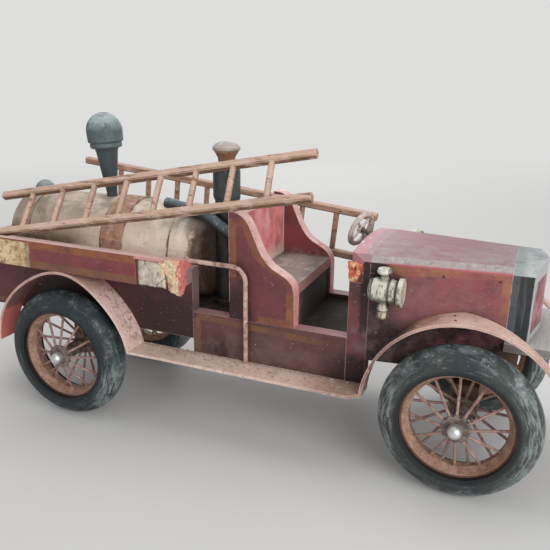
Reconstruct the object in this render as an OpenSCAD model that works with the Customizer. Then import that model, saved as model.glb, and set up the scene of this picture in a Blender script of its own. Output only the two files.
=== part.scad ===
// Wooden toy fire truck: board body on a lean chassis, wire-spoked wheels,
// turned water barrel, boiler, lanterns and two loose ladders.
// Body pieces are drawn in the body's own frame: x from the rear hub towards
// the radiator, y from the middle, z up from the hub. on_body() then leans
// that frame nose-down and stands it on the wheels, with z = 0 on the floor.

/* [Wheels] */
// Outer radius of a tyre
tyre_r = 79; // [70:0.5:90]
// Radius of the round tyre section
tyre_section_r = 18.2; // [14:0.1:20]
// Outer radius of the wheel rim
rim_r = 55; // [48:0.5:60]
// Width of the wheel rim across the faces
rim_w = 23.2; // [18:0.2:28]
// Thickness of the rim's edge lip
rim_lip = 2.7; // [2:0.1:4]
// Radius at the bottom of the rim's inner valley, where spokes enter
rim_seat_r = 47.5; // [42:0.5:50]
// Radius of a wire spoke
spoke_r = 1.45; // [1:0.05:2]
// Spokes in each of the two rows of a wheel
spokes_per_row = 12; // [8:1:16]
// Radius of the hub's outer flange
hub_flange_r = 14.3; // [12:0.1:18]
// Radius of the hub's barrel
hub_barrel_r = 8.5; // [7:0.1:11]
// Distance from the tyre's middle to the hub's outer face
hub_out = 18.2; // [15:0.1:22]
// Distance from the tyre's middle to the hub's inner face
hub_in = 29.6; // [24:0.1:34]
// Radius of the domed hub nut
nut_r = 7.2; // [6:0.1:9]
// Radius of the axle rods
axle_r = 4; // [3:0.1:6]

/* [Stance] */
// Distance between the axles, along the body
wheelbase = 466.4; // [420:1:520]
// Rise of the front axle into the body, which makes the nose-down lean
front_axle_rise = 13.2; // [0:0.1:20]
// Clearance between a tyre and the side board it runs beside
tyre_gap = 2.3; // [1:0.1:10]

/* [Body] */
// Half width of the body over its side boards
body_hw = 70; // [60:0.5:80]
// Thickness of the side, sill and seat boards
side_t = 15; // [10:0.5:18]
// Rear end of the body
body_rear = -160; // [-180:1:-125]
// Front end of the rear body and of its barrel deck
bed_front = 164; // [150:1:180]
// Lower edge of the rear side boards
panel_z0 = 38.5; // [30:0.5:50]
// Upper edge of the rear side boards
panel_z1 = 122; // [110:0.5:135]
// Underside of the decks, on top of the chassis rails
deck_z0 = 55; // [45:0.5:60]
// Upper face of the barrel deck
deck_z1 = 69; // [60:0.5:75]
// Lower edge of the cab sills
sill_z0 = 17; // [10:0.5:25]
// Upper edge of the cab sills
sill_z1 = 71; // [60:0.5:80]
// Upper face of the cab floor
floor_z1 = 64; // [58:0.5:70]
// Thickness of the tail board
tail_t = 12; // [8:0.5:16]

/* [Seat] */
// Rear edge of the seat sides
seat_x0 = 210; // [195:0.5:225]
// Front edge of the seat sides
seat_x1 = 286; // [270:0.5:300]
// Top of the seat sides
seat_z1 = 191.5; // [170:0.5:210]
// Height of the arm, where the seat side turns down
arm_z = 120; // [105:0.5:135]
// Upper face of the bench
bench_z1 = 117; // [100:0.5:125]
// Thickness of the bench, seat back and seat front boards
seat_board = 12; // [8:0.5:16]
// Top of the seat back
back_z1 = 188; // [165:0.5:200]

/* [Hood] */
// Rear face of the cowl board
cowl_x0 = 345; // [330:0.5:360]
// Front face of the cowl board, where the hood starts
cowl_x1 = 366; // [350:0.5:380]
// Front end of the hood
hood_x1 = 498; // [480:0.5:515]
// How far each side of the hood comes in at its front end
hood_taper = 18; // [8:0.5:26]
// Height of the hood's side edge
hood_z1 = 153.6; // [140:0.2:165]
// Rise of the hood's top from edge to crown
hood_camber = 6.4; // [1:0.2:10]
// Slope of the hood's top across the body, right side up, in degrees
hood_list = 1.7; // [0:0.1:3]
// Fall of the hood's top towards the radiator, in degrees
hood_fall = 1.1; // [0:0.1:2]
// Bevel along the hood's upper edges
hood_bevel = 5; // [2:0.5:8]
// Thickness of the hood's top board
hood_top_t = 14; // [10:0.5:18]
// Lower edge of the hood sides
hood_z0 = 50; // [38:0.5:54]
// Depth of the radiator shell
shell_t = 20; // [14:0.5:26]
// Forward point of the radiator's shallow vee
shell_vee = 10.5; // [0:0.5:16]
// Width of the shell's border around the core
shell_border = 6; // [4:0.5:12]
// Spacing of the upright ribs on the radiator core
rib_pitch = 6; // [4:0.5:10]
// Upper face of the front platform
platform_z1 = 88; // [75:0.5:95]
// Front end of the platform
platform_x1 = 575; // [540:1:590]
// Thickness of the front platform
platform_t = 8; // [5:0.5:12]
// Half width of the front platform ahead of the radiator
platform_hw = 60; // [52:0.5:68]

/* [Fenders] */
// Middle radius of a fender strip around its wheel hub, rear
rear_fender_r = 97; // [90:0.5:105]
// Middle radius of a fender strip around its wheel hub, front
front_fender_r = 98.5; // [92:0.5:108]
// Thickness of the fender strip
strip_t = 3; // [2:0.25:5]
// How far the fenders stand out past the side boards
fender_reach = 32.5; // [26:0.5:38]
// How much narrower the strip is over the front wheels
front_narrow = 11.5; // [0:0.5:14]
// Upper face of the running board
board_z1 = 22; // [15:0.5:30]

/* [Ladder trays] */
// Underside of the trays
tray_z0 = 106.5; // [95:0.5:115]
// Top of the tray walls
tray_z1 = 139; // [137:0.5:155]
// Thickness of a tray wall
tray_wall = 8; // [5:0.5:12]
// Thickness of the right tray's floor, which carries that ladder's rear end
right_floor = 25.5; // [10:0.5:30]
// Thickness of the left tray's floor
left_floor = 13; // [8:0.5:20]
// Length of the block that closes the right tray's front end
tray_block = 17; // [12:0.5:25]
// Start of the broken stretch of the right tray wall
break_x = 112; // [100:1:125]

/* [Barrel and turnings] */
// Clearance between the barrel and a side board
barrel_gap = 0.2; // [0.1:0.1:4]
// Rear end of the barrel
barrel_x0 = -113; // [-125:0.5:-100]
// Front end of the barrel
barrel_x1 = 163; // [150:0.5:163.5]
// Width of the raised hoop around the barrel
hoop_w = 29; // [20:0.5:40]
// Rise of the hoop over the staves
hoop_t = 2; // [0.5:0.1:3]
// Middle of the chimney's foot along the body
chimney_x = 13.2; // [0:0.2:25]
// Rearward lean of the chimney, in degrees
chimney_lean = 4.2; // [0:0.1:8]
// Radius of the chimney's domed cap
chimney_cap_r = 21.9; // [20:0.1:28]
// Top of the chimney
chimney_z1 = 281; // [250:0.5:300]
// Top of the boiler's barrel
boiler_z1 = 229; // [215:0.5:240]
// Middle of the boiler along the body
boiler_x = 182; // [175:0.5:190]
// Middle of the boiler across the body
boiler_y = -17; // [-25:0.5:0]
// Radius of the boiler
boiler_r = 15.5; // [12:0.1:18]
// Radius of the branch pipe
branch_r = 6.5; // [4:0.1:8]

/* [Ladders] */
// Distance between the rails of a ladder, middle to middle
ladder_w = 55.2; // [45:0.2:65]
// Spacing of the rungs
rung_pitch = 45.3; // [38:0.1:52]
// Size of a square rail
rail_s = 9.2; // [7:0.1:12]
// Radius of a rung
rung_r = 3.5; // [2:0.1:4]
// Length of the right ladder's rails
right_rail_l = 414; // [395:1:440]
// Length of the left ladder's rails
left_rail_l = 425; // [424:1:450]
// Rear end of the right ladder, along the body
right_ladder_x = -104.6; // [-125:0.5:-90]
// Rear end of the left ladder, along the body
left_ladder_x = -97; // [-125:0.5:-85]
// Fall of the left ladder towards the front, in degrees
left_ladder_drop = 5.5; // [3:0.1:7]

/* [Fittings] */
// Radius of the handrail rod
handrail_r = 2.6; // [2:0.1:4]
// Height of the handrail's top run
handrail_z = 133; // [120:0.5:140]
// Radius of the lantern bodies
lantern_r = 12.8; // [10:0.1:15]
// Radius of the steering wheel, middle of the ring
steer_r = 18.5; // [14:0.5:24]
// Radius of the ring's round section
steer_ring_r = 2.9; // [1.5:0.1:4]
// Middle of the steering wheel across the body
steer_y = 29; // [20:0.5:32]
// Tip of the column from upright, in degrees
steer_tilt = 108; // [95:1:130]
// Turn of the column towards the middle of the body, in degrees
steer_yaw = 19; // [0:1:25]
// Radius of the steering column
column_r = 2.6; // [2:0.1:4]
// Radial clearance of a shaft in its bore
run_fit = 0.05; // [0.01:0.01:0.1]
// Side clearance between parts that turn past each other
side_gap = 0.5; // [0.3:0.1:1]
// Clearance under a loose ladder where it rests
seat_gap = 0.35; // [0.2:0.05:0.6]

/* [Hidden] */
$fn = 72;
right = -1;
left = 1;

lean = atan(front_axle_rise / wheelbase);
track = 2 * (body_hw + tyre_gap + tyre_section_r);
hood_front_hw = body_hw - hood_taper;
strip_hw = body_hw + fender_reach;
axle_span = wheelbase / cos(lean);
strip_tip = 178;
front_tip = 4;
fender_out = front_fender_r + strip_t / 2;
x_max = max(
    (wheelbase + fender_out * cos(front_tip)) * cos(lean)
        + (front_axle_rise + fender_out * sin(front_tip)) * sin(lean),
    platform_x1 * cos(lean) + platform_z1 * sin(lean));
x_min = body_rear * cos(lean) + panel_z0 * sin(lean);
rear_x = -(x_max + x_min) / 2;

board_mid = board_z1 - strip_t / 2;
block_hl = track / 2 - hub_in - side_gap;
back_x0 = seat_x0 + 2;
kick_x1 = seat_x1 - 3;
inner_hw = body_hw - side_t;
hood_in = side_t - 1;
nose_x = hood_x1 + 14;
high = hood_z1 + 50;
barrel_r = inner_hw - barrel_gap;
barrel_z = deck_z1 + barrel_r;
rim_hw = rim_w / 2;
tyre_ring_r = tyre_r - tyre_section_r;
flange_t = 4.5;
axle_end = 6;
inner_flange_r = hub_flange_r - 1.3;
spoke_in_rim = 3;
rail_z0 = deck_z0 - 18;
tray_bite = 3;
rail_w = 16;
rail_y = hood_front_hw - hood_in - 0.3 - rail_w / 2;
rail_edge = 1.6;
axle_block_hl = 14;
axle_block_drop = 12;

red = [0.45, 0.13, 0.14];
rust = [0.66, 0.40, 0.34];
slate = [0.19, 0.26, 0.27];
cream = [0.80, 0.74, 0.63];
grey = [0.55, 0.57, 0.55];
raw = [0.75, 0.60, 0.45];
steel = [0.72, 0.73, 0.74];

function unit(v) = v / norm(v);
hood_turn = atan((body_hw - hood_front_hw) / (hood_x1 - cowl_x1));

module on_body() {
    translate([rear_x, 0, tyre_r]) rotate([0, lean, 0]) children();
}

module board(x0, x1, y0, y1, z0, z1) {
    translate([x0, min(y0, y1), z0])
        cube([x1 - x0, abs(y1 - y0), z1 - z0]);
}

module side_board(side, x0, x1, z0, z1) {
    board(x0, x1, side * inner_hw, side * body_hw, z0, z1);
}

module rod(a, b, r) {
    v = b - a;
    translate(a)
        rotate([0, acos(v[2] / norm(v)), atan2(v[1], v[0])])
            cylinder(h = norm(v), r = r, $fn = 24);
}

// Wheels, drawn around z with the outboard face up

module at_wheel(front, side) {
    translate([rear_x + (front ? axle_span : 0), side * track / 2, tyre_r])
        rotate([-90 * side, 0, 0]) children();
}

module tyre() {
    color(slate) rotate_extrude($fn = 120) difference() {
        translate([tyre_ring_r, 0]) circle(r = tyre_section_r, $fn = 64);
        translate([0, -tyre_r]) square([rim_r, 2 * tyre_r]);
    }
}

module spoke_row(outer) {
    z_hub = outer ? hub_out - flange_t / 2 : -hub_in + flange_t / 2;
    z_rim = outer ? spoke_r : -spoke_r;
    r_hub = hub_barrel_r + spoke_r;
    for (i = [0 : spokes_per_row - 1])
        rotate((i + (outer ? 0 : 0.5)) * 360 / spokes_per_row)
            rod([r_hub, 0, z_hub],
                [rim_seat_r + spoke_in_rim, 0, z_rim], spoke_r);
}

module all_spokes() {
    spoke_row(true);
    spoke_row(false);
}

module spokes() {
    color(rust) all_spokes();
}

module rim() {
    flat = 2 * spoke_r + 1;
    color(rust) difference() {
        rotate_extrude($fn = 120) polygon([
            [rim_r, -rim_hw], [rim_r, rim_hw], [rim_r - rim_lip, rim_hw],
            [rim_seat_r, flat], [rim_seat_r, -flat], [rim_r - rim_lip, -rim_hw]]);
        all_spokes();
    }
}

module hub() {
    notch_r = 1.7;
    edge = 1;
    fillet = 2;
    color(grey) difference() {
        rotate_extrude($fn = 72) polygon([
            [axle_r + run_fit, -hub_in], [inner_flange_r, -hub_in],
            [inner_flange_r, -hub_in + flange_t],
            [hub_barrel_r, -hub_in + flange_t + fillet],
            [hub_barrel_r, hub_out - flange_t - fillet],
            [hub_flange_r, hub_out - flange_t], [hub_flange_r, hub_out - edge],
            [hub_flange_r - edge, hub_out], [axle_r + run_fit, hub_out]]);
        for (i = [0 : spokes_per_row - 1])
            rotate((i + 0.5) * 360 / spokes_per_row)
                translate([hub_flange_r + notch_r / 4, 0, hub_out - flange_t - 1])
                    cylinder(h = flange_t + 2, r = notch_r, $fn = 20);
        all_spokes();
    }
}

module nut() {
    collar = 4;
    z0 = hub_out + side_gap;
    difference() {
        translate([0, 0, z0]) rotate_extrude($fn = 48) union() {
            square([nut_r, collar]);
            intersection() {
                translate([0, collar]) circle(r = nut_r, $fn = 48);
                square([nut_r, collar + nut_r]);
            }
        }
        translate([0, 0, z0 - 1]) cylinder(h = axle_end + 1, r = axle_r, $fn = 48);
    }
}

module front_right_tyre() { at_wheel(true, right) tyre(); }
module front_right_rim() { at_wheel(true, right) rim(); }
module front_right_spokes() { at_wheel(true, right) spokes(); }
module front_right_hub() { at_wheel(true, right) hub(); }
module front_left_tyre() { at_wheel(true, left) tyre(); }
module front_left_rim() { at_wheel(true, left) rim(); }
module front_left_spokes() { at_wheel(true, left) spokes(); }
module front_left_hub() { at_wheel(true, left) hub(); }
module rear_right_tyre() { at_wheel(false, right) tyre(); }
module rear_right_rim() { at_wheel(false, right) rim(); }
module rear_right_spokes() { at_wheel(false, right) spokes(); }
module rear_right_hub() { at_wheel(false, right) hub(); }
module rear_left_tyre() { at_wheel(false, left) tyre(); }
module rear_left_rim() { at_wheel(false, left) rim(); }
module rear_left_spokes() { at_wheel(false, left) spokes(); }
module rear_left_hub() { at_wheel(false, left) hub(); }

module hub_nuts() {
    color(steel)
        for (front = [true, false])
            for (side = [right, left])
                at_wheel(front, side) nut();
}

module axle_rod(front) {
    hl = track / 2 + hub_out + side_gap + axle_end;
    translate([rear_x + (front ? axle_span : 0), -hl, tyre_r])
        rotate([-90, 0, 0]) cylinder(h = 2 * hl, r = axle_r, $fn = 48);
}

module axles() {
    color(steel) {
        axle_rod(true);
        axle_rod(false);
    }
}

// Chassis and boards

module chassis_rails() {
    color(raw) on_body()
        for (side = [right, left])
            board(body_rear + tail_t, nose_x,
                  side * (rail_y - rail_w / 2), side * (rail_y + rail_w / 2),
                  rail_z0, deck_z0);
}

module axle_blocks() {
    half = axle_block_hl;
    color(raw) difference() {
        on_body() {
            board(-half, half, -block_hl, block_hl, -axle_block_drop, rail_z0);
            board(wheelbase - half, wheelbase + half, -block_hl, block_hl,
                  front_axle_rise - axle_block_drop, rail_z0);
        }
        axle_rod(true);
        axle_rod(false);
    }
}

module barrel_deck() {
    color(grey) on_body()
        board(body_rear + tail_t, seat_x0, -inner_hw, inner_hw, deck_z0, deck_z1);
}

module cab_floor() {
    color(slate) on_body()
        board(seat_x0, cowl_x1, -inner_hw, inner_hw, deck_z0, floor_z1);
}

module right_side_panel() {
    color(red) on_body()
        side_board(right, body_rear, bed_front, panel_z0, panel_z1);
}

module left_side_panel() {
    color(red) on_body()
        side_board(left, body_rear, bed_front, panel_z0, panel_z1);
}

module tail_board() {
    color(red) on_body()
        board(body_rear, body_rear + tail_t, -inner_hw, inner_hw, panel_z0, panel_z1);
}

module right_sill() {
    color(red) on_body() side_board(right, bed_front, cowl_x0, sill_z0, sill_z1);
}

module left_sill() {
    color(red) on_body() side_board(left, bed_front, cowl_x0, sill_z0, sill_z1);
}

// Point on a cubic curve through a and d, drawn towards b and c
function curve(a, b, c, d, t) = pow(1 - t, 3) * a + 3 * t * pow(1 - t, 2) * b
    + 3 * t * t * (1 - t) * c + pow(t, 3) * d;

function arc(c, r, from, to) = [for (i = [0 : 12])
    let (a = from + (to - from) * i / 12) [c[0] + r * cos(a), c[1] + r * sin(a)]];

// The seat side rolls over at its crest, runs down and out, then turns
// down again at the end of the arm
module seat_side() {
    steps = 10;
    top = [seat_x0 + 3, seat_z1];
    crest = [seat_x0 + 28.4, seat_z1 - 23.4];
    run = [0.4, -0.92];
    hollow = crest + 13 * run;
    arm = [seat_x1 - 24, arm_z + 13.8];
    arm_end = [seat_x1 - 13, arm_z + 8];
    arm_run = unit(arm_end - arm);
    nose = [seat_x1, arm_z - 14];
    linear_extrude(side_t) polygon(concat(
        [[seat_x0, sill_z1], [seat_x0, seat_z1], top],
        [for (i = [1 : steps])
            curve(top, top + [15, 0], crest - 13 * run, crest, i / steps)],
        [for (i = [0 : steps])
            curve(hollow, hollow + 9 * run, arm - 8 * arm_run, arm, i / steps)],
        [for (i = [0 : steps])
            curve(arm_end, arm_end + 9 * arm_run, nose + [0, 12], nose, i / steps)],
        [[seat_x1, sill_z1]]));
}

module seat_side_at(side) {
    y = side == right ? -inner_hw : body_hw;
    translate([0, y, 0]) rotate([90, 0, 0]) seat_side();
}

module right_seat_side() {
    color(red) on_body() seat_side_at(right);
}

module left_seat_side() {
    color(red) on_body() seat_side_at(left);
}

module seat_back() {
    color(red) on_body()
        board(back_x0, back_x0 + seat_board, -inner_hw, inner_hw,
              floor_z1, back_z1);
}

module bench() {
    color(grey) on_body()
        board(back_x0 + seat_board, seat_x1 - 1, -inner_hw, inner_hw,
              bench_z1 - seat_board, bench_z1);
}

module seat_front() {
    color(slate) on_body()
        board(kick_x1 - seat_board, kick_x1, -inner_hw, inner_hw,
              floor_z1, bench_z1 - seat_board);
}

// Cowl, hood and radiator

// The hood was nailed on a little out of level, so its top and bevels list
module listed() {
    translate([0, 0, hood_z1]) rotate([-hood_list, 0, 0])
        translate([0, 0, -hood_z1]) children();
}

module crown(fall) {
    r = (body_hw * body_hw + hood_camber * hood_camber) / (2 * hood_camber);
    back = 60;
    listed() translate([cowl_x1, 0, hood_z1 + hood_bevel + hood_camber])
        rotate([0, 90 + fall, 0]) translate([r, 0, -back])
            cylinder(h = nose_x - cowl_x1 + 2 * back, r = r, $fn = 360);
}

module bevels(x0, hw, turn) {
    back = 40;
    wide = 60;
    listed() for (side = [right, left])
        translate([x0, side * hw, hood_z1])
            rotate([0, 0, -side * turn]) rotate([-side * 45, 0, 0])
                translate([-back, -wide / 2, 0])
                    cube([nose_x - cowl_x1 + 2 * back, wide, wide / 2]);
}

module hood_plan(inset) {
    polygon([
        [cowl_x1, -body_hw + inset], [hood_x1, -hood_front_hw + inset],
        [hood_x1, hood_front_hw - inset], [cowl_x1, body_hw - inset]]);
}

// The cowl's right rear corner has split away
module cowl_chip() {
    z0 = hood_z1 - 20.6;
    along = 14;
    across = 8;
    translate([0, 0, z0]) linear_extrude(high - z0) polygon([
        [cowl_x0 - 1, -body_hw - 1], [cowl_x0 + along, -body_hw - 1],
        [cowl_x0 + along, -body_hw], [cowl_x0, -body_hw + across],
        [cowl_x0 - 1, -body_hw + across]]);
}

module cowl() {
    color(red) on_body() difference() {
        intersection() {
            board(cowl_x0, cowl_x1, -body_hw, body_hw, sill_z0, high);
            crown(0);
        }
        board(cowl_x0 - 1, cowl_x1 + 1, -inner_hw, inner_hw, 0, floor_z1);
        bevels(cowl_x0, body_hw, 0);
        cowl_chip();
        steering_shaft(run_fit, side_gap);
    }
}

hood_top_z0 = hood_z1 + hood_bevel - hood_top_t;

module hood_top() {
    color(red) on_body() difference() {
        intersection() {
            translate([0, 0, hood_top_z0]) linear_extrude(high - hood_top_z0) hood_plan(0);
            crown(hood_fall);
        }
        bevels(cowl_x1, body_hw, hood_turn);
    }
}

module hood_side(side) {
    intersection() {
        translate([0, 0, hood_z0]) linear_extrude(hood_top_z0 - hood_z0)
            difference() {
                hood_plan(0);
                hood_plan(hood_in);
            }
        board(cowl_x1, hood_x1, 0, side * body_hw, 0, high);
    }
}

module right_hood_side() {
    color(red) on_body() hood_side(right);
}

module left_hood_side() {
    color(red) on_body() hood_side(left);
}

module shell_plan(inset, depth) {
    hw = hood_front_hw - inset;
    polygon([
        [hood_x1, -hw], [hood_x1 + depth, -hw],
        [hood_x1 + depth + shell_vee * hw / hood_front_hw, 0],
        [hood_x1 + depth, hw], [hood_x1, hw]]);
}

shell_recess = 3;

module radiator_shell() {
    color(grey) on_body() difference() {
        intersection() {
            translate([0, 0, platform_z1])
                linear_extrude(high - platform_z1) shell_plan(0, shell_t);
            crown(hood_fall);
        }
        bevels(hood_x1, hood_front_hw, 0);
        translate([0, 0, platform_z1 + shell_border])
            linear_extrude(hood_z1 - platform_z1 - 2 * shell_border)
                difference() {
                    translate([hood_x1, -hood_front_hw + shell_border])
                        square([3 * shell_t, 2 * (hood_front_hw - shell_border)]);
                    shell_plan(0, shell_t - shell_recess);
                }
    }
}

module radiator_core() {
    hw = hood_front_hw - shell_border;
    z0 = platform_z1 + shell_border;
    h = hood_z1 - platform_z1 - 2 * shell_border;
    n = floor(hw / rib_pitch);
    slope = shell_vee / hood_front_hw;
    plate = 1.2;
    rib_w = 2.2;
    rib_t = 2;
    x0 = hood_x1 + shell_t - shell_recess;
    color(red) on_body() translate([0, 0, z0]) linear_extrude(h) union() {
        intersection() {
            difference() {
                shell_plan(0, shell_t - shell_recess + plate);
                shell_plan(0, shell_t - shell_recess);
            }
            translate([hood_x1, -hw]) square([3 * shell_t, 2 * hw]);
        }
        for (i = [-n : n])
            translate([x0 + slope * (hood_front_hw - abs(i * rib_pitch)),
                       i * rib_pitch])
                translate([plate / 2, -rib_w / 2]) square([rib_t, rib_w]);
    }
}

module between_hood_sides() {
    tongue = 40;
    intersection() {
        hood_plan(hood_in);
        translate([hood_x1 - tongue, -body_hw]) square([tongue, 2 * body_hw]);
    }
}

module front_platform() {
    color(grey) on_body() translate([0, 0, platform_z1 - platform_t])
        linear_extrude(platform_t) union() {
            between_hood_sides();
            translate([hood_x1, -platform_hw])
                square([platform_x1 - hood_x1, 2 * platform_hw]);
        }
}

module platform_block() {
    hw = hood_front_hw - hood_in;
    color(raw) on_body() translate([0, 0, deck_z0])
        linear_extrude(platform_z1 - platform_t - deck_z0) union() {
            between_hood_sides();
            translate([hood_x1, -hw]) square([nose_x - hood_x1, 2 * hw]);
        }
}

// Fenders and running board, one bent strip a side

// Radius of the rear strip at angle a: it swells up to touch the tray over it
touch_a = 84;
touch_sharp = 10;
function rear_mid(a) = rear_fender_r
    + (tray_z0 - 0.1 - strip_t / 2 - rear_fender_r)
    * pow(max(0, cos(a - touch_a)), touch_sharp);

function ring_pt(c, r, a) = [c[0] + r * cos(a), c[1] + r * sin(a)];

module strip_profile() {
    steps = 60;
    a0 = asin(board_mid / rear_fender_r);
    b0 = 180 - asin((board_mid - front_axle_rise) / front_fender_r);
    hub_f = [wheelbase, front_axle_rise];
    h = strip_t / 2;
    polygon(concat(
        [for (i = [0 : steps]) let (a = a0 + (strip_tip - a0) * i / steps)
            ring_pt([0, 0], rear_mid(a) + h, a)],
        [for (i = [steps : -1 : 0]) let (a = a0 + (strip_tip - a0) * i / steps)
            ring_pt([0, 0], rear_mid(a) - h, a)]));
    polygon(concat(
        [for (i = [0 : steps]) let (a = front_tip + (b0 - front_tip) * i / steps)
            ring_pt(hub_f, front_fender_r + h, a)],
        [for (i = [steps : -1 : 0]) let (a = front_tip + (b0 - front_tip) * i / steps)
            ring_pt(hub_f, front_fender_r - h, a)]));
    x0 = ring_pt([0, 0], rear_fender_r, a0)[0];
    x1 = ring_pt(hub_f, front_fender_r, b0)[0];
    translate([x0 - h, board_z1 - strip_t]) square([x1 - x0 + strip_t, strip_t]);
}

// In plan the front strip leaves the hood side ahead of the wheel's middle
// and runs out to its own narrow end
module fender_inside() {
    x0 = wheelbase - 6.4;
    hw = body_hw - hood_taper * (x0 - cowl_x1) / (hood_x1 - cowl_x1);
    polygon([
        [cowl_x1, -body_hw], [x0, -hw], [x0 + 32, -hw - 10.8], [x0 + 51, -hw - 16.8],
        [x0 + 66, -hw - 20.8], [platform_x1 + 50, -hw - 20.8],
        [platform_x1 + 50, hw + 20.8], [x0 + 66, hw + 20.8], [x0 + 51, hw + 16.8],
        [x0 + 32, hw + 10.8], [x0, hw], [cowl_x1, body_hw]]);
}

module fender_outside(side) {
    leg_x = wheelbase - front_fender_r;
    hw = strip_hw - front_narrow;
    mirror([0, side == right ? 1 : 0]) polygon([
        [leg_x - 12, strip_hw + 1], [leg_x - 12, strip_hw], [leg_x + 7, hw],
        [platform_x1 + 50, hw], [platform_x1 + 50, strip_hw + 1]]);
}

module fender(side) {
    low = -60;
    difference() {
        translate([0, side == right ? -hood_front_hw : strip_hw, 0])
            rotate([90, 0, 0]) linear_extrude(strip_hw - hood_front_hw) strip_profile();
        board(-200, cowl_x1, side * (hood_front_hw - 1), side * body_hw, low, high);
        translate([0, 0, low]) linear_extrude(high - low) union() {
            fender_inside();
            fender_outside(side);
        }
    }
}

module right_fender() {
    color(rust) on_body() fender(right);
}

module left_fender() {
    color(rust) on_body() fender(left);
}

// Ladder trays and handrail

module tray_pieces(side, x1, floor_t) {
    y_wall = strip_hw - tray_wall;
    board(body_rear, x1, side * body_hw, side * y_wall, tray_z0, tray_z0 + floor_t);
    board(body_rear, x1, side * y_wall, side * strip_hw, tray_z0, tray_z1);
}

module right_tray() {
    top_lip = 3;
    color(red) on_body() difference() {
        tray_pieces(right, bed_front - tray_block, right_floor);
        board(break_x, bed_front, -strip_hw - 1, -strip_hw + tray_bite,
              tray_z0 - 1, tray_z1 - top_lip);
    }
}

module left_tray() {
    color(red) on_body() tray_pieces(left, bed_front, left_floor);
}

module right_tray_block() {
    color(raw) on_body()
        board(bed_front - tray_block, bed_front, -body_hw, -strip_hw + tray_bite,
              tray_z0, tray_z1);
}

handrail_y = -body_hw - handrail_r - 2.4;
handrail_x = 232;
handrail_bend = 16;

module right_handrail() {
    foot_z = board_z1;
    color(rust) on_body() {
        rod([bed_front, handrail_y, handrail_z],
            [handrail_x - handrail_bend, handrail_y, handrail_z], handrail_r);
        translate([handrail_x - handrail_bend, handrail_y, handrail_z - handrail_bend])
            rotate([90, 0, 0]) rotate_extrude(angle = 90, $fn = 72)
                translate([handrail_bend, 0]) circle(r = handrail_r, $fn = 24);
        rod([handrail_x, handrail_y, foot_z],
            [handrail_x, handrail_y, handrail_z - handrail_bend], handrail_r);
    }
}

// Barrel, chimney, boiler and branch pipe

hoop_x = 144;
groove_at = [34, 235];

module barrel() {
    edge_r = 12;
    groove = 1.6;
    len = barrel_x1 - barrel_x0;
    color(cream) on_body() intersection() {
        translate([barrel_x0, 0, barrel_z]) rotate([0, 90, 0]) difference() {
            rotate_extrude($fn = 120) union() {
                square([barrel_r - edge_r, len]);
                translate([0, edge_r]) square([barrel_r, len - 2 * edge_r]);
                translate([0, hoop_x]) square([barrel_r + hoop_t, hoop_w]);
                translate([barrel_r - edge_r, edge_r]) circle(r = edge_r);
                translate([barrel_r - edge_r, len - edge_r]) circle(r = edge_r);
            }
            for (x = groove_at)
                translate([0, 0, x]) rotate_extrude($fn = 120)
                    translate([barrel_r, 0]) circle(r = groove, $fn = 16);
        }
        board(barrel_x0, barrel_x1, -inner_hw, inner_hw, deck_z1, high);
    }
}

module barrel_core() {
    translate([barrel_x0, 0, barrel_z]) rotate([0, 90, 0])
        cylinder(h = barrel_x1 - barrel_x0, r = barrel_r, $fn = 120);
}

module chimney() {
    z0 = barrel_z + barrel_r - 3;
    ring_z = chimney_z1 - 42.5;
    stem = ring_z - z0;
    r = chimney_cap_r;
    dome_z = chimney_z1 - r;
    color(slate) on_body() difference() {
        translate([chimney_x, 0, z0]) rotate([0, -chimney_lean, 0]) translate([0, 0, -z0])
            rotate_extrude($fn = 72) union() {
                polygon([
                    [0, z0], [6.5, z0], [6.6, z0 + 0.14 * stem], [7.2, z0 + 0.2 * stem],
                    [8.8, z0 + 0.39 * stem], [10.9, z0 + 0.64 * stem],
                    [13.3, z0 + 0.93 * stem], [14.6, ring_z - 1], [r - 3.5, ring_z],
                    [r - 2.5, ring_z + 1.5], [r - 2.5, ring_z + 5], [r - 3.7, ring_z + 6],
                    [r - 1, ring_z + 7], [r - 0.5, ring_z + 8.5], [r, dome_z], [0, dome_z]]);
                intersection() {
                    translate([0, dome_z]) circle(r = r, $fn = 96);
                    translate([0, ring_z + 8.5]) square([r, chimney_z1 - ring_z]);
                }
            }
        barrel_core();
    }
}

module rear_filler_cap() {
    button = 13;
    color(slate) on_body() difference() {
        translate([barrel_x0 + 21, 0, barrel_z + barrel_r - 2])
            rotate_extrude($fn = 48) union() {
                square([button - 1, 5]);
                intersection() {
                    translate([0, 1]) circle(r = button);
                    square([button, button + 1]);
                }
            }
        barrel_core();
    }
}

boiler_round = 5;

module boiler() {
    waist = 2;
    collar_z = boiler_z1 - 37;
    color(slate) on_body() translate([boiler_x, boiler_y, 0])
        rotate_extrude($fn = 72) polygon(concat([
            [0, deck_z1], [boiler_r, deck_z1], [boiler_r, deck_z1 + 4],
            [boiler_r - waist, deck_z1 + 6], [boiler_r - waist, collar_z],
            [boiler_r - 0.8, collar_z + 1], [boiler_r - 0.8, collar_z + 2.5],
            [boiler_r, collar_z + 4]],
            arc([boiler_r - boiler_round, boiler_z1 - boiler_round], boiler_round, 0, 90),
            [[0, boiler_z1]]));
}

module boiler_cap() {
    color(cream) on_body() translate([boiler_x, boiler_y, boiler_z1])
        rotate_extrude($fn = 72) polygon([
            [0, 0], [9.2, 0], [9, 5], [9.9, 11], [13, 16.5],
            [15.8, 20], [15.3, 22.5], [12, 25.8], [7, 27.7], [0, 28.3]]);
}

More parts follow.
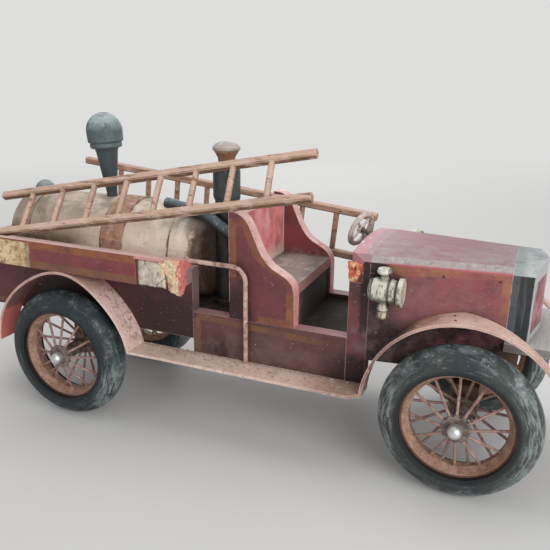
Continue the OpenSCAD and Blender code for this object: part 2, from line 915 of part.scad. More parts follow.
// The branch pipe lies on the barrel's shoulder and turns down past the boiler
module branch_pipe() {
    reach = barrel_r + branch_r + 0.1;
    y_a = boiler_y - 3;
    y_b = boiler_y - boiler_r - 1.5;
    y_c = boiler_y - boiler_r - branch_r - 5;
    a = [barrel_x1 - 58, y_a, barrel_z + sqrt(reach * reach - y_a * y_a)];
    b = [barrel_x1 - 2, y_b, barrel_z + sqrt(reach * reach - y_b * y_b) + 2.5];
    c = [seat_x0 - 8, y_c, b[2] - 19.7];
    color(slate) on_body() {
        rod(a, b, branch_r);
        translate(b) sphere(r = branch_r + 0.2, $fn = 48);
        rod(b, c, branch_r);
    }
}

// Ladders

module ladder_frame(origin, along, across) {
    d = unit(along);
    u = unit(across - (across * d) * d);
    n = cross(d, u);
    multmatrix([
        [d[0], u[0], n[0], origin[0]],
        [d[1], u[1], n[1], origin[1]],
        [d[2], u[2], n[2], origin[2]],
        [0, 0, 0, 1]]) children();
}

module rail_bar(l) {
    s = rail_s / 2;
    c = rail_edge;
    rotate([90, 0, 90]) linear_extrude(l) polygon([
        [s - c, -s], [s, -s + c], [s, s - c], [s - c, s],
        [-s + c, s], [-s, s - c], [-s, -s + c], [-s + c, -s]]);
}

module rung_set(first, n) {
    bury = 3.2;
    for (i = [0 : n - 1])
        translate([first + i * rung_pitch, rail_s / 2 - bury, 0])
            rotate([-90, 0, 0])
                cylinder(h = ladder_w - rail_s + 2 * bury, r = rung_r, $fn = 24);
}

module rail_pair(l, first, n) {
    difference() {
        union() {
            rail_bar(l);
            translate([0, ladder_w, 0]) rail_bar(l);
        }
        rung_set(first, n);
    }
}

// The right ladder's foot lies in its tray; its lower rail crosses the top of
// the seat side and its upper rail leans on the boiler's shoulder
rail_seat = rail_s / 2 + seat_gap;
rail_corner = (rail_s - rail_edge) / sqrt(2) + seat_gap;
right_foot = [right_ladder_x, -(strip_hw - tray_wall) + rail_corner,
              tray_z0 + right_floor + rail_corner];
rest_in = 0.3 * rail_s * sin(45);
right_rest = [seat_x0, -body_hw - rail_seat * sin(45) + rest_in,
              seat_z1 + rail_seat * sin(45) + rest_in];
right_run = unit(right_rest - right_foot);
right_at_boiler = right_foot + right_run * (boiler_x - right_foot[0]) / right_run[0];
round_in = boiler_round * (1 - cos(45));
shoulder = [boiler_x, boiler_y - boiler_r + round_in, boiler_z1 - round_in];
to_shoulder = shoulder - right_at_boiler;
right_tilt = atan2(to_shoulder[2], to_shoulder[1]) + asin(rail_seat / norm(to_shoulder));

module right_ladder_frame() {
    on_body()
        ladder_frame(right_foot, right_run, [0, cos(right_tilt), sin(right_tilt)])
            children();
}

// The left ladder stands on edge in its tray, against the wall
left_rest_z = tray_z0 + left_floor + seat_gap + rail_s / 2 / cos(left_ladder_drop);
left_foot = [left_ladder_x, strip_hw - tray_wall - rail_seat,
             left_rest_z + (bed_front - left_ladder_x) * tan(left_ladder_drop)];

module left_ladder_frame() {
    on_body()
        ladder_frame(left_foot, [cos(left_ladder_drop), 0, -sin(left_ladder_drop)],
                     [0, 0, 1])
            children();
}

right_first = 46.7;
right_rungs = 8;
left_first = 57;
left_rungs = 9;

module right_ladder_rails() {
    color(raw) right_ladder_frame() rail_pair(right_rail_l, right_first, right_rungs);
}

module right_ladder_rungs() {
    color(raw) right_ladder_frame() rung_set(right_first, right_rungs);
}

module left_ladder_rails() {
    color(raw) left_ladder_frame() rail_pair(left_rail_l, left_first, left_rungs);
}

module left_ladder_rungs() {
    color(raw) left_ladder_frame() rung_set(left_first, left_rungs);
}

// Lanterns and steering

// A lantern is a lamp barrel lying along the hood, turned on its own post
module lantern(side) {
    r = lantern_r;
    lamp_l = 34;
    lamp_z = hood_z1 - 21.6;
    translate([cowl_x1 + 2, side * (body_hw + r - 2.2), lamp_z]) {
        rotate([0, 90, 0]) rotate_extrude($fn = 48) polygon([
            [0, 0], [r - 5.8, 0], [r - 2.8, 1.2], [r - 1.6, 3], [r - 2.2, 4], [r - 1, 5],
            [r - 0.4, 9], [r - 0.4, 20], [r - 1.4, 21], [r - 0.4, 22], [r - 1.8, 27],
            [r - 1, 29], [r + 1.4, 30], [r + 1.4, lamp_l], [0, lamp_l]]);
        translate([lamp_l / 2 - 2, 0, 0]) rotate_extrude($fn = 48) polygon([
            [0, -29], [3.5, -28.7], [6.4, -26], [6, -22], [4.4, -20.5], [6.2, -19],
            [6.2, -15], [4.6, -11], [4.6, 10], [4.2, 13.5], [3.6, 16], [7, 18],
            [7.6, 20], [6.4, 22.5], [0, 23.5]]);
    }
}

module right_lantern() {
    color(cream) on_body() difference() {
        lantern(right);
        linear_extrude(high) hood_plan(0);
    }
}

module left_lantern() {
    color(cream) on_body() difference() {
        lantern(left);
        linear_extrude(high) hood_plan(0);
    }
}

steer_hub_r = 5;
steer_hub_t = 4;

module at_steering() {
    translate([cowl_x0 - 17, steer_y, hood_z1 + 9.4])
        rotate([0, steer_tilt, -steer_yaw]) children();
}

module steering_shaft(play, end_play) {
    shaft_l = 34;
    at_steering() cylinder(h = shaft_l + end_play, r = column_r + play, $fn = 48);
}

module steering_hub() {
    translate([0, 0, -steer_hub_t / 2]) cylinder(h = steer_hub_t, r = steer_hub_r, $fn = 36);
}

module steering_wheel() {
    arm_r = 1.5;
    color(cream) on_body() at_steering() {
        rotate_extrude($fn = 72) translate([steer_r, 0]) circle(r = steer_ring_r, $fn = 24);
        steering_hub();
        for (i = [0 : 3])
            rotate(45 + 90 * i) rod([0, 0, 0], [steer_r, 0, 0], arm_r);
    }
}

module steering_column() {
    color(steel) on_body() difference() {
        steering_shaft(0, 0);
        at_steering() steering_hub();
    }
}

chassis_rails();
axle_blocks();
axles();
hub_nuts();
barrel_deck();
cab_floor();
right_side_panel();
left_side_panel();
tail_board();
right_sill();
left_sill();
right_seat_side();
left_seat_side();
seat_back();
bench();
seat_front();
cowl();
hood_top();
right_hood_side();
left_hood_side();
radiator_shell();
radiator_core();
front_platform();
platform_block();
right_fender();
left_fender();
right_tray();
left_tray();
right_tray_block();
right_handrail();
barrel();
chimney();
rear_filler_cap();
boiler();
boiler_cap();
branch_pipe();
right_ladder_rails();
right_ladder_rungs();
left_ladder_rails();
left_ladder_rungs();
right_lantern();
left_lantern();
steering_wheel();
steering_column();
front_right_tyre();
front_right_rim();
front_right_spokes();
front_right_hub();
front_left_tyre();
front_left_rim();
front_left_spokes();
front_left_hub();
rear_right_tyre();
rear_right_rim();
rear_right_spokes();
rear_right_hub();
rear_left_tyre();
rear_left_rim();
rear_left_spokes();
rear_left_hub();
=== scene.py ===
import math
import random

import bmesh
import bpy
from mathutils import Matrix, Vector, noise


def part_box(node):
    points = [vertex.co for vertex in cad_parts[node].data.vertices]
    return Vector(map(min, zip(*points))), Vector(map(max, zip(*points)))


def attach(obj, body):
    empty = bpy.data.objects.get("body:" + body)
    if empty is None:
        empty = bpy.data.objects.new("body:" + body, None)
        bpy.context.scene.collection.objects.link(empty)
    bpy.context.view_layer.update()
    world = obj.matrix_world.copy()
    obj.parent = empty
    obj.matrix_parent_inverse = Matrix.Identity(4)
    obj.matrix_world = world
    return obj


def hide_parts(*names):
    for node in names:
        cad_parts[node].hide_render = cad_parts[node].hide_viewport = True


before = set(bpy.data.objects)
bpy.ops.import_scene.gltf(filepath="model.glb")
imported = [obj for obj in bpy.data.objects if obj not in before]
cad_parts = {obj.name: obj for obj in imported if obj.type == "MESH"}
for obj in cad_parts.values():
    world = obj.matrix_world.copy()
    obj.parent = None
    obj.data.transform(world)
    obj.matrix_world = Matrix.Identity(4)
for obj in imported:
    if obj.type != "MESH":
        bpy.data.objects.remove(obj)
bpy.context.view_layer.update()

MM = 0.001
# The body's own axes: x from the rear hub towards the radiator, y to the truck's left, z up
# from the hub, in millimetres. The body sits nose-down: the front hub is the higher in it
REAR_HUB, FRONT_HUB = (0, 0), (466.4, 13.2)
LEAN = math.atan(FRONT_HUB[1] / FRONT_HUB[0])
# The hood was nailed on with its right side high
HOOD_LIST = math.tan(math.radians(1.7))

# Where the photograph was taken from: angles in degrees, a spot in the body's own
# millimetres, and the focal length and the width of the picture in pixels
CAMERA_ANGLES = 22.279, 18.193, 0.7265
CAMERA_SPOT = 515.9, -684.9, 346.9
FOCAL_LENGTH, PICTURE_WIDTH = 663.8, 550


def middle_of(node_name):
    low, high = (Vector(corner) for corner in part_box(node_name))
    return (low + high) / 2


rear_hub = middle_of("rear_right_tyre")
front_hub = middle_of("front_right_tyre")
BODY = Matrix.Translation((rear_hub.x, 0, rear_hub.z)) @ Matrix.Rotation(LEAN, 4, "Y")


def body_point(x, y, z):
    """A point given in the body's own millimetres, in the scene's metres."""
    return BODY @ (Vector((x, y, z)) * MM)


def place_camera():
    """Stands where the photograph was taken: to the right, ahead of the truck and above it."""
    azimuth, elevation, roll = (math.radians(angle) for angle in CAMERA_ANGLES)
    back = Vector((math.sin(azimuth) * math.cos(elevation),
                   -math.cos(azimuth) * math.cos(elevation),
                   math.sin(elevation)))
    across = (-back).cross(Vector((0, 0, 1))).normalized()
    up = back.cross(across)
    right = math.cos(roll) * across + math.sin(roll) * up
    up = back.cross(right)
    turn = BODY.to_3x3() @ Matrix((right, up, back)).transposed()
    data = bpy.data.cameras.new("view_from_the_right")
    data.lens = data.sensor_width * FOCAL_LENGTH / PICTURE_WIDTH
    data.clip_start = 0.05
    camera = bpy.data.objects.new("view_from_the_right", data)
    camera.matrix_world = Matrix.Translation(body_point(*CAMERA_SPOT)) @ turn.to_4x4()
    bpy.context.collection.objects.link(camera)
    bpy.context.scene.camera = camera


place_camera()


def linear(hex_colour):
    """An sRGB hex colour as the linear values that a shader takes."""
    parts = [int(hex_colour[i:i + 2], 16) / 255 for i in (1, 3, 5)]
    return tuple(c / 12.92 if c <= 0.04045 else ((c + 0.055) / 1.055) ** 2.4
                 for c in parts) + (1,)


# The node tree in hand, and where the measures below are read in it
tree = None
readings = {}


def begin(owner):
    """Clears the nodes of a material or world; from here on nodes are added to it."""
    global tree
    owner.use_nodes = True
    tree = owner.node_tree
    tree.nodes.clear()


def add(kind, inputs=None, **settings):
    """Adds a shader node with its settings, and its inputs as values, measures, sockets or
    the nodes whose first output is meant."""
    made = tree.nodes.new(kind)
    for name, value in settings.items():
        setattr(made, name, value)
    for socket, value in (inputs or {}).items():
        if isinstance(value, str):
            value = readings[value]
        if isinstance(value, bpy.types.Node):
            value = value.outputs[0]
        if isinstance(value, bpy.types.NodeSocket):
            tree.links.new(value, made.inputs[socket])
        else:
            made.inputs[socket].default_value = value
    return made


# What can be measured at each spot of a surface: its place in the scene and in the body's
# own millimetres, and how squarely it faces the truck's front, its left and the sky
SCENE_PLACE, PLACE, X, Y, Z = "scene place", "place", "x", "y", "z"
NORMAL, FORWARD, LEFTWARD, UPWARD = "normal", "forward", "leftward", "upward"


def measure(a, b, times=1):
    """a + b times a number, for a measure that depends on two others."""
    return add("ShaderNodeMath", {0: b, 1: times, 2: a}, operation="MULTIPLY_ADD")


def off_centre():
    """Distance from the truck's centre line."""
    return add("ShaderNodeMath", {0: Y}, operation="ABSOLUTE")


def past(value, start, end, wander=0, size=10, seed=3):
    """0 before start and 1 beyond end. With wander the edge strays by that many
    millimetres, as a brush or a break does."""
    if wander:
        value = measure(value, cloud(size, seed=seed, detail=2), 2 * wander)
    return add("ShaderNodeMapRange",
               {"Value": value, "From Min": start + wander, "From Max": end + wander},
               interpolation_type="SMOOTHSTEP")


def stripe(value, low, high, soft=0.5, wander=0.9, size=10, seed=3):
    """1 between low and high, with the edges of a line painted by hand."""
    return both(past(value, low - soft, low + soft, wander, size, seed),
                past(value, high + soft, high - soft, wander, size, seed + 20))


# A cloud seldom leaves this range
CLOUD_LOW, CLOUD_HIGH = 0.28, 0.72


def cloud(size, seed=0, detail=4, rough=0.55, along=None, place=PLACE):
    """Uneven patches about size millimetres across, from 0 to 1."""
    if along:
        place = add("ShaderNodeMapping", {"Vector": place, "Scale": along})
    return add("ShaderNodeTexNoise",
               {"Vector": place, "W": seed, "Scale": 1 / size, "Detail": detail,
                "Roughness": rough}, noise_dimensions="4D").outputs["Fac"]


def patches(size, low, high, **settings):
    """Only the strongest patches of a cloud, with soft rims."""
    return past(cloud(size, **settings), low, high)


def joined(operation, masks):
    """One mask out of several."""
    total = masks[0]
    for mask in masks[1:]:
        total = add("ShaderNodeMath", {0: total, 1: mask}, operation=operation)
    return total


def both(*masks):
    """Only where all of these are."""
    return joined("MULTIPLY", masks)


def either(*masks):
    """Wherever one of these is."""
    return joined("MAXIMUM", masks)


def facing_up(low=0.35, high=0.9):
    """Where the surface looks up, and dust settles."""
    return past(UPWARD, low, high)


def outer_side():
    """The sides that look away from the truck's middle, which are the ones that were lined
    and polished."""
    return past(both(LEFTWARD, Y), 28, 44)


def rubbed_edges(width=1.6):
    """Where hands and knocks have worn an edge, broken up along its length."""
    soft = add("ShaderNodeBevel", {"Radius": width * MM}, samples=6)
    turn = add("ShaderNodeVectorMath", {0: soft, 1: NORMAL}, operation="DOT_PRODUCT")
    return both(past(turn.outputs["Value"], 0.998, 0.93), patches(7, 0.3, 0.54, seed=1, detail=5))


def shaded_hollows(reach=14, low=0.75, high=0.25):
    """1 deep in corners and hollows, for the painted shade that falls there."""
    open_air = add("ShaderNodeAmbientOcclusion", {"Distance": reach * MM}, samples=6)
    return past(open_air.outputs["AO"], low, high)


class Finish:
    """A finish being built up in coats, with its colour and its relief so far. Masks belong
    to the finish begun last."""

    def __init__(self, name, colour, roughness=0.6):
        self.material = bpy.data.materials.new(name)
        begin(self.material)
        self.colour = linear(colour)
        self.relief = None
        self.shader = add("ShaderNodeBsdfPrincipled",
                          {"Roughness": roughness, "IOR": 1.45, "Base Color": self.colour})
        add("ShaderNodeOutputMaterial", {"Surface": self.shader})
        readings[SCENE_PLACE] = add("ShaderNodeTexCoord").outputs["Object"]
        readings[PLACE] = add("ShaderNodeMapping",
                              {"Vector": SCENE_PLACE,
                               "Location": BODY.inverted().translation / MM,
                               "Rotation": (0, -LEAN, 0), "Scale": (1 / MM,) * 3})
        readings[NORMAL] = add("ShaderNodeNewGeometry").outputs["Normal"]
        for vector, parts in ((PLACE, (X, Y, Z)), (NORMAL, (FORWARD, LEFTWARD, UPWARD))):
            readings.update(zip(parts, add("ShaderNodeSeparateXYZ", {0: vector}).outputs))

    def coat(self, colour, strength, *masks):
        """Lays another colour over what is there, where all of the masks are."""
        where = both(*masks, strength) if strength < 1 else both(*masks)
        self.colour = add("ShaderNodeMix", {0: where, 6: self.colour, 7: linear(colour)},
                          data_type="RGBA").outputs[2]

    def shade(self, pattern, dark, pale):
        """Darkens and lightens the colour by a pattern."""
        value = add("ShaderNodeMapRange",
                    {"Value": pattern, "From Min": CLOUD_LOW, "From Max": CLOUD_HIGH,
                     "To Min": 1 - dark, "To Max": 1 + pale})
        self.colour = add("ShaderNodeHueSaturation",
                          {"Value": value, "Color": self.colour}).outputs[0]

    def mottle(self, size, amount, seed=1):
        """Darker and lighter patches of one colour, as old paint and wood have."""
        self.shade(cloud(size, seed=seed, detail=5), amount, amount)

    def bump(self, height, depth):
        """Adds relief of the given depth in millimetres."""
        inputs = {"Height": height, "Distance": depth * MM, "Strength": 1}
        if self.relief:
            inputs["Normal"] = self.relief
        self.relief = add("ShaderNodeBump", inputs).outputs[0]

    def grain(self, along, size, depth, dark):
        """Long fibres of raw or thinly painted softwood, in colour and relief."""
        fibres = cloud(size, seed=5, detail=5, rough=0.65, along=along)
        self.shade(fibres, dark, dark * 0.6)
        self.bump(fibres, depth)

    def uneven_gloss(self, low, high, size=20):
        """Dull where dust lies and a little glossier where paint was handled."""
        gloss = add("ShaderNodeMapRange",
                    {"Value": cloud(size, seed=11), "To Min": low, "To Max": high})
        tree.links.new(gloss.outputs[0], self.shader.inputs["Roughness"])

    def done(self):
        """The material, with the last coat and the relief joined to its shader."""
        links = self.material.node_tree.links
        links.new(self.colour, self.shader.inputs["Base Color"])
        if self.relief:
            links.new(self.relief, self.shader.inputs["Normal"])
        return self.material


LENGTHWISE = (0.06, 1, 1)
UPRIGHT = (1, 1, 0.06)
CROSSWISE = (1, 0.06, 1)

SIDES = ("right", "left")


def wheels(part):
    """The names of one part of all four wheels."""
    return [f"{end}_{side}_{part}" for end in ("front", "rear") for side in SIDES]


def dress(finish, *node_names):
    """Gives CAD nodes their finish."""
    material = finish.done()
    for name in node_names:
        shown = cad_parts[name]
        if not shown.data.materials:
            shown.data.materials.append(material)
        for slot in shown.material_slots:
            slot.material = material


SHADE_AND_GRIME = "#2a1e1b"
BARE_PINE = "#cdab86"


def old_red(name, red, haze, lines=None, shade_and_grime=None, line_colour="#94603f", top="#c9a09a",
            top_strength=0.9, edge="#a97f79", wear=1.4, rich="#85434a"):
    """Oil paint brushed on pine boards: dull and mottled, with ochre lining, its edges
    rubbed through to a pink undercoat and its top edges paled by dust, with painted shade in
    its corners. Two functions make the masks: one of the lining, one of the darker parts,
    which are painted shade in some places and grime in others."""
    paint = Finish(name, red, roughness=0.58)
    paint.mottle(42, 0.2)
    paint.mottle(7, 0.16, seed=2)
    paint.mottle(2.2, 0.12, seed=51)
    paint.coat(haze, 0.55, patches(24, 0.5, 0.68, seed=14, detail=7, rough=0.62))
    if lines:
        drawn = both(lines(), outer_side())
        paint.coat(line_colour, 0.9, drawn)
        paint.coat("#6e4a38", 0.6, drawn, patches(9, 0.48, 0.64, seed=15, detail=6))
    paint.coat(rich, 0.6, patches(26, 0.44, 0.62, seed=77, detail=6, rough=0.6))
    paint.coat("#553c39", 0.5, patches(30, 0.5, 0.68, seed=4, detail=7, rough=0.62))
    if shade_and_grime:
        # Painted shade and grime, where the finish's own mask puts them
        paint.coat(SHADE_AND_GRIME, 0.92, shade_and_grime())
    # Painted shade deep in corners
    paint.coat(SHADE_AND_GRIME, 0.65, shaded_hollows())
    scuffs = patches(2.6, 0.62, 0.68, seed=6, rough=0.7, along=LENGTHWISE)
    paint.coat(haze, 0.7, scuffs)
    # Specks of dust and plaster
    paint.coat("#cfc3bb", 0.8, patches(1.9, 0.705, 0.73, seed=16, detail=2))
    paint.coat("#2c1f1d", 0.7, patches(2.1, 0.715, 0.74, seed=52, detail=3))
    paint.coat(top, top_strength, facing_up())
    if wear:
        paint.coat(edge, 0.8, rubbed_edges(wear))
    chips = patches(5, 0.72, 0.74, seed=9, detail=3, rough=0.7)
    paint.coat(BARE_PINE, 0.7, chips)
    paint.bump(cloud(2, seed=8, detail=5, rough=0.65, along=LENGTHWISE), 0.35)
    paint.bump(chips, -0.3)
    paint.uneven_gloss(0.38, 0.74)
    return paint


def around_wheel(hub, reach):
    """1 inside a circle about a wheel's hub, in the body's own millimetres."""
    spot = add("ShaderNodeCombineXYZ", {0: measure(X, hub[0], -1), 1: measure(Z, hub[1], -1)})
    away = add("ShaderNodeVectorMath", {0: spot}, operation="LENGTH")
    return past(away.outputs["Value"], reach + 2, reach - 6)


def panel_lines():
    """One ochre line low along the panel, one up its front end."""
    return either(stripe(Z, 41.5, 48), stripe(X, 152.5, 161, seed=4))


def panel_paint():
    """The body sides: the darkest red, darker towards the bottom under the trays, with painted
    shade along their top under the trays and behind the rear wheel."""
    # Darker low down under the trays, and painted shade along the top under them and round the
    # rear wheel
    def shade_and_grime():
        under_tray = both(past(Z, 118, 70, 12, 22), past(X, 30, 110))
        return either(under_tray, past(Z, 102, 110, 3), around_wheel(REAR_HUB, 94))

    paint = old_red(
        "red_panel_paint", "#623337", "#6c4145", panel_lines, shade_and_grime, "#6f4a34", rich="#6d353b")
    front_end = both(past(FORWARD, 0.5, 0.9), past(X, 163, 163.9))
    paint.coat("#85706f", 0.85, front_end)
    paint.coat("#5d4f4e", 0.8, front_end, past(Z, 96, 70, 6))
    return paint


dress(panel_paint(), "right_side_panel", "left_side_panel", "tail_board")


def sill_paint():
    """The cab sills: red gone grey-brown with dust, the lining almost lost at its front end."""
    def lines():
        fall = measure(Z, X, 0.044)
        along = both(stripe(fall, 70.6, 77.8), past(X, 168, 171), past(X, 340, 280, 10, 22))
        upright = both(stripe(X, 167, 173.5, seed=4), past(Z, 16, 24), past(Z, 66, 64))
        return either(along, upright)

    # The dark front end is painted shade; the rear is darker low down
    def shade_and_grime():
        dark_end = both(past(measure(X, Z, -0.6), 296, 322, 8, 22), past(Z, 71, 62, 5))
        low_left = both(past(Z, 50, 30, 9, 22), past(X, 250, 200, 8, 22))
        return either(dark_end, both(low_left, patches(20, 0.3, 0.6, seed=78)))

    paint = old_red(
        "red_sill_paint", "#5c3b39", "#6f504c", lines, shade_and_grime, "#7d5338", top="#ab8782",
        edge="#a37b75", rich="#6b3e41")
    paint.coat(
        "#7a625d", 0.5, patches(30, 0.4, 0.62, seed=31, detail=7, rough=0.65), past(Z, 70, 40),
        past(X, 326, 300, 6, 20))
    return paint


dress(sill_paint(), "right_sill", "left_sill")


def seat_outline():
    """Distance behind the curved front edge of a seat side."""
    foot, crest, rear, front = 70, 195, 200, 300
    height = add("ShaderNodeMapRange", {"Value": Z, "From Min": foot, "From Max": crest})
    curve = add("ShaderNodeFloatCurve", {"Value": height})
    edge = ((70, 286), (107, 285.8), (115, 285.1), (121, 282.2), (125.5, 277.6), (128.5, 271.9),
            (132, 265), (136.6, 258.1), (141.4, 252.4), (146.3, 247.7), (152.6, 245.4),
            (159.8, 241.9), (168.1, 238.4), (176.4, 235), (182.5, 231.5), (187.4, 226.9),
            (191, 219), (195, 212))
    points = [((z - foot) / (crest - foot), (x - rear) / (front - rear)) for z, x in edge]
    line = curve.mapping.curves[0]
    line.points[0].location = points[0]
    line.points[1].location = points[-1]
    for point in points[1:-1]:
        line.points.new(*point)
    curve.mapping.update()
    edge_x = add("ShaderNodeMapRange", {"Value": curve, "To Min": rear, "To Max": front})
    return measure(edge_x, X, -1)


def seat_side_paint():
    """The curved seat sides: dark mauve-red with a broad ochre border that follows the
    curve, and edges rubbed pale pink by hands."""
    def lines():
        behind = seat_outline()
        # On the steep crest the border is as wide across as it is on the straight front edge
        front = both(past(behind, 9.5, 8.5, 0.9), past(Z, 186, 182))
        back = both(stripe(X, 211.3, 218.6, seed=4), past(Z, 116, 122), past(Z, 185, 183))
        low = both(stripe(Z, 71, 78.6), past(X, 240, 250))
        fall = measure(Z, X, 0.16)
        over = both(stripe(fall, 212.6, 217.2), past(X, 210, 211), past(X, 229, 226))
        return either(front, back, low, over)

    def shade_and_grime():
        return both(past(X, 250, 214, 9, 22), past(Z, 128, 92, 9, 22))

    paint = old_red(
        "red_seat_paint", "#6b3b3c", "#764649", lines, shade_and_grime, "#965f3a", rich="#7c3c42",
        top="#dcb0a8", wear=0)
    # The curved edge looks forwards or up; the flat sides look right or left
    flat_side = past(both(LEFTWARD, LEFTWARD), 0.5, 0.8)
    rim = both(past(flat_side, 0.9, 0.1), past(X, 211, 213))
    paint.coat("#e9b8b0", 0.95, rim)
    paint.coat("#f2d8d0", 0.6, rim, patches(9, 0.45, 0.62, seed=33, detail=6))
    paint.coat("#e39a94", 0.8, rim, past(Z, 128, 112, 4))
    paint.coat("#a9645f", 0.7, rim, patches(5, 0.58, 0.66, seed=53, detail=6))
    paint.coat("#e6c8c0", 0.8, rubbed_edges(1.5), past(Z, 84, 100))
    inner = both(flat_side, past(outer_side(), 0.5, 0.1))
    paint.coat("#8d4549", 0.75, inner, past(Z, 168, 136, 5))
    paint.coat(
        "#8f8078", 0.7, inner, past(Z, 128, 117, 4, 9), patches(5, 0.44, 0.6, seed=54, detail=6))
    return paint


dress(seat_side_paint(), "right_seat_side", "left_seat_side")


def seat_back_paint():
    """The seat back kept its red best, out of the sun, with pale rubbed streaks."""
    paint = old_red(
        "bright_red_paint", "#ec8a87", "#f2aaa6", top="#dcb0a8", edge="#d8a59d", rich="#d3706f")
    paint.coat("#f4bdb8", 0.5, patches(14, 0.48, 0.64, seed=34, detail=6, along=(1, 1, 0.4)))
    paint.coat("#b65a5a", 0.5, patches(9, 0.54, 0.68, seed=55, detail=6, along=(1, 1, 0.3)))
    front = past(X, 222, 223.5)
    paint.coat("#e2d2c6", 0.75, front, past(Z, 138, 118, 7, 16))
    paint.coat("#d9cbc6", 0.8, front, past(Y, 49, 53, 2, 12))
    return paint


dress(seat_back_paint(), "seat_back")


def hood_border():
    """The ochre border under the hood's bevel, narrowing forwards, and its front upright."""
    level = measure(Z, Y, HOOD_LIST)
    over = measure(level, X, -0.0465)
    band = past(over, 123.6, 124.6, 0.7, 14)
    upright = both(past(X, 489.4, 490.6, 0.8), past(Z, 96, 106))
    return both(either(band, upright), past(level, 152.6, 151.8))


def hood_side_paint(name):
    """Dusty red hood sides, rosier in the middle, dark with painted shade towards the cowl and
    black with painted shade in the arch.
    """
    # Painted shade by the cowl behind the lantern, above the front fender and in the wheel arch
    def shade_and_grime():
        by_arch = both(past(measure(X, Z, 0.9), 498, 470, 9, 22), past(Z, 122, 104, 6))
        return either(past(X, 390, 377, 5, 16), by_arch, around_wheel(FRONT_HUB, 97))

    paint = old_red(
        name, "#8b5759", "#99676a", hood_border, shade_and_grime, "#a46f50", wear=0, rich="#98494f")
    paint.coat("#985c60", 0.6, patches(20, 0.42, 0.62, seed=35, detail=6), past(X, 404, 440))
    paint.coat(
        "#6b5655", 0.75, patches(18, 0.4, 0.6, seed=36, detail=7, rough=0.65), past(Z, 126, 98),
        past(X, 446, 410))
    corner = either(past(X, 492, 496), past(X, 372, 368))
    paint.coat("#a97b72", 0.6, rubbed_edges(1.2), corner)
    return paint


dress(hood_side_paint("red_hood_paint"), "right_hood_side", "left_hood_side")


def chalky_top(paint):
    """Red that years of dust and sun have turned a chalky mauve-pink, brushed lengthwise."""
    strokes = patches(5, 0.4, 0.66, seed=2, detail=6, rough=0.62, along=(0.16, 1, 1))
    paint.coat("#a98489", 0.6, strokes)
    paint.coat("#94686d", 0.5, patches(26, 0.46, 0.66, seed=44, detail=7, rough=0.62))
    paint.coat(
        "#a8a0a0", 0.55, past(Y, 20, -44), patches(16, 0.38, 0.6, seed=46, detail=7, rough=0.65))
    paint.coat("#a59b9a", 0.6, past(X, 452, 486, 6), patches(9, 0.4, 0.58, seed=56, detail=6))
    paint.coat("#6d4b4c", 0.6, patches(2, 0.69, 0.72, seed=49, detail=3))
    paint.coat("#d9cecb", 0.6, patches(1.8, 0.7, 0.73, seed=50, detail=2))
    paint.bump(strokes, 0.25)


def hood_top_paint():
    """Chalky on top and grey along the bevel, but below it the same red as the hood sides."""
    paint = hood_side_paint("faded_hood_paint")
    side = paint.colour
    paint.colour = linear("#9d7076")
    chalky_top(paint)
    level = measure(Z, Y, HOOD_LIST)
    bevel = past(UPWARD, 0.95, 0.88)
    paint.coat("#aca19f", 0.9, bevel)
    paint.coat("#8b7272", 0.5, bevel, patches(8, 0.5, 0.64, seed=47, detail=6))
    paint.coat("#c8bfbc", 0.5, bevel, patches(5, 0.54, 0.64, seed=57, detail=6))
    top = paint.colour
    on_side = past(UPWARD, 0.5, 0.3)
    paint.colour = add("ShaderNodeMix", {0: on_side, 6: top, 7: side}, data_type="RGBA").outputs[2]
    red_line = both(past(level, 151.9, 152.5, 0.2, 6), past(level, 154.9, 154.1, 0.3, 6))
    paint.coat("#b8666a", 0.85, red_line, past(X, 374, 392, 3))
    paint.uneven_gloss(0.34, 0.58, 26)
    return paint


dress(hood_top_paint(), "hood_top")


def cowl_paint():
    """Red cowl board: pale pink on top where the dust lies, dark with painted shade round the
    lantern and low down, one corner split to raw wood.
    """
    # Painted shade round the lantern and low down by the fender
    def shade_and_grime():
        return either(both(past(X, 355, 359.5, 2, 14), past(Z, 74, 84, 6)), past(Z, 60, 46, 7, 18))

    paint = old_red("cowl_paint", "#5f393b", "#7a5656", shade_and_grime=shade_and_grime, top="#b9969a", edge="#b57c79")
    paint.coat(
        "#7a6562", 0.6, past(Z, 92, 76, 7, 18), past(Z, 50, 62, 5),
        patches(16, 0.4, 0.6, seed=58, detail=7))
    on_top = facing_up(0.8, 0.95)
    reach = measure(X, Y, 0.06)
    paint.coat("#cf969c", 0.8, on_top, past(reach, 357, 354, 2, 12))
    paint.coat("#efe6e4", 0.8, on_top, patches(4.5, 0.58, 0.63, seed=12), past(Y, 20, -20))
    # The split corner faces back and to the right, which no other face of the board does
    split = both(past(LEFTWARD, -0.3, -0.5), past(FORWARD, -0.2, -0.6), past(Z, 131, 133))
    near_split = both(
        past(Y, -62, -68, 2, 5), past(Z, 134, 142, 4, 6, 5), past(X, 359, 355, 4.5, 5, 6))
    whole = either(past(Z, 140, 146), patches(5, 0.46, 0.5, seed=82, detail=5))
    torn = both(either(split, near_split), whole, past(Z, 154, 152))
    paint.coat("#c98d92", 0.9, split, past(Z, 151, 153))
    paint.coat("#d8705a", 0.95, torn)
    paint.coat("#f0bf94", 0.9, torn, patches(5, 0.5, 0.55, seed=13, detail=6, along=(1, 1, 0.5)))
    paint.coat("#9a5e3a", 0.8, torn, patches(3.4, 0.53, 0.6, seed=17, detail=6))
    paint.coat(
        "#2e1b14", 0.9, torn, patches(4.6, 0.54, 0.58, seed=18, detail=5, along=(1, 1, 0.4)))
    paint.bump(both(torn, cloud(3, seed=19, detail=6, along=(1, 1, 0.4))), 2.4)
    return paint


dress(cowl_paint(), "cowl")


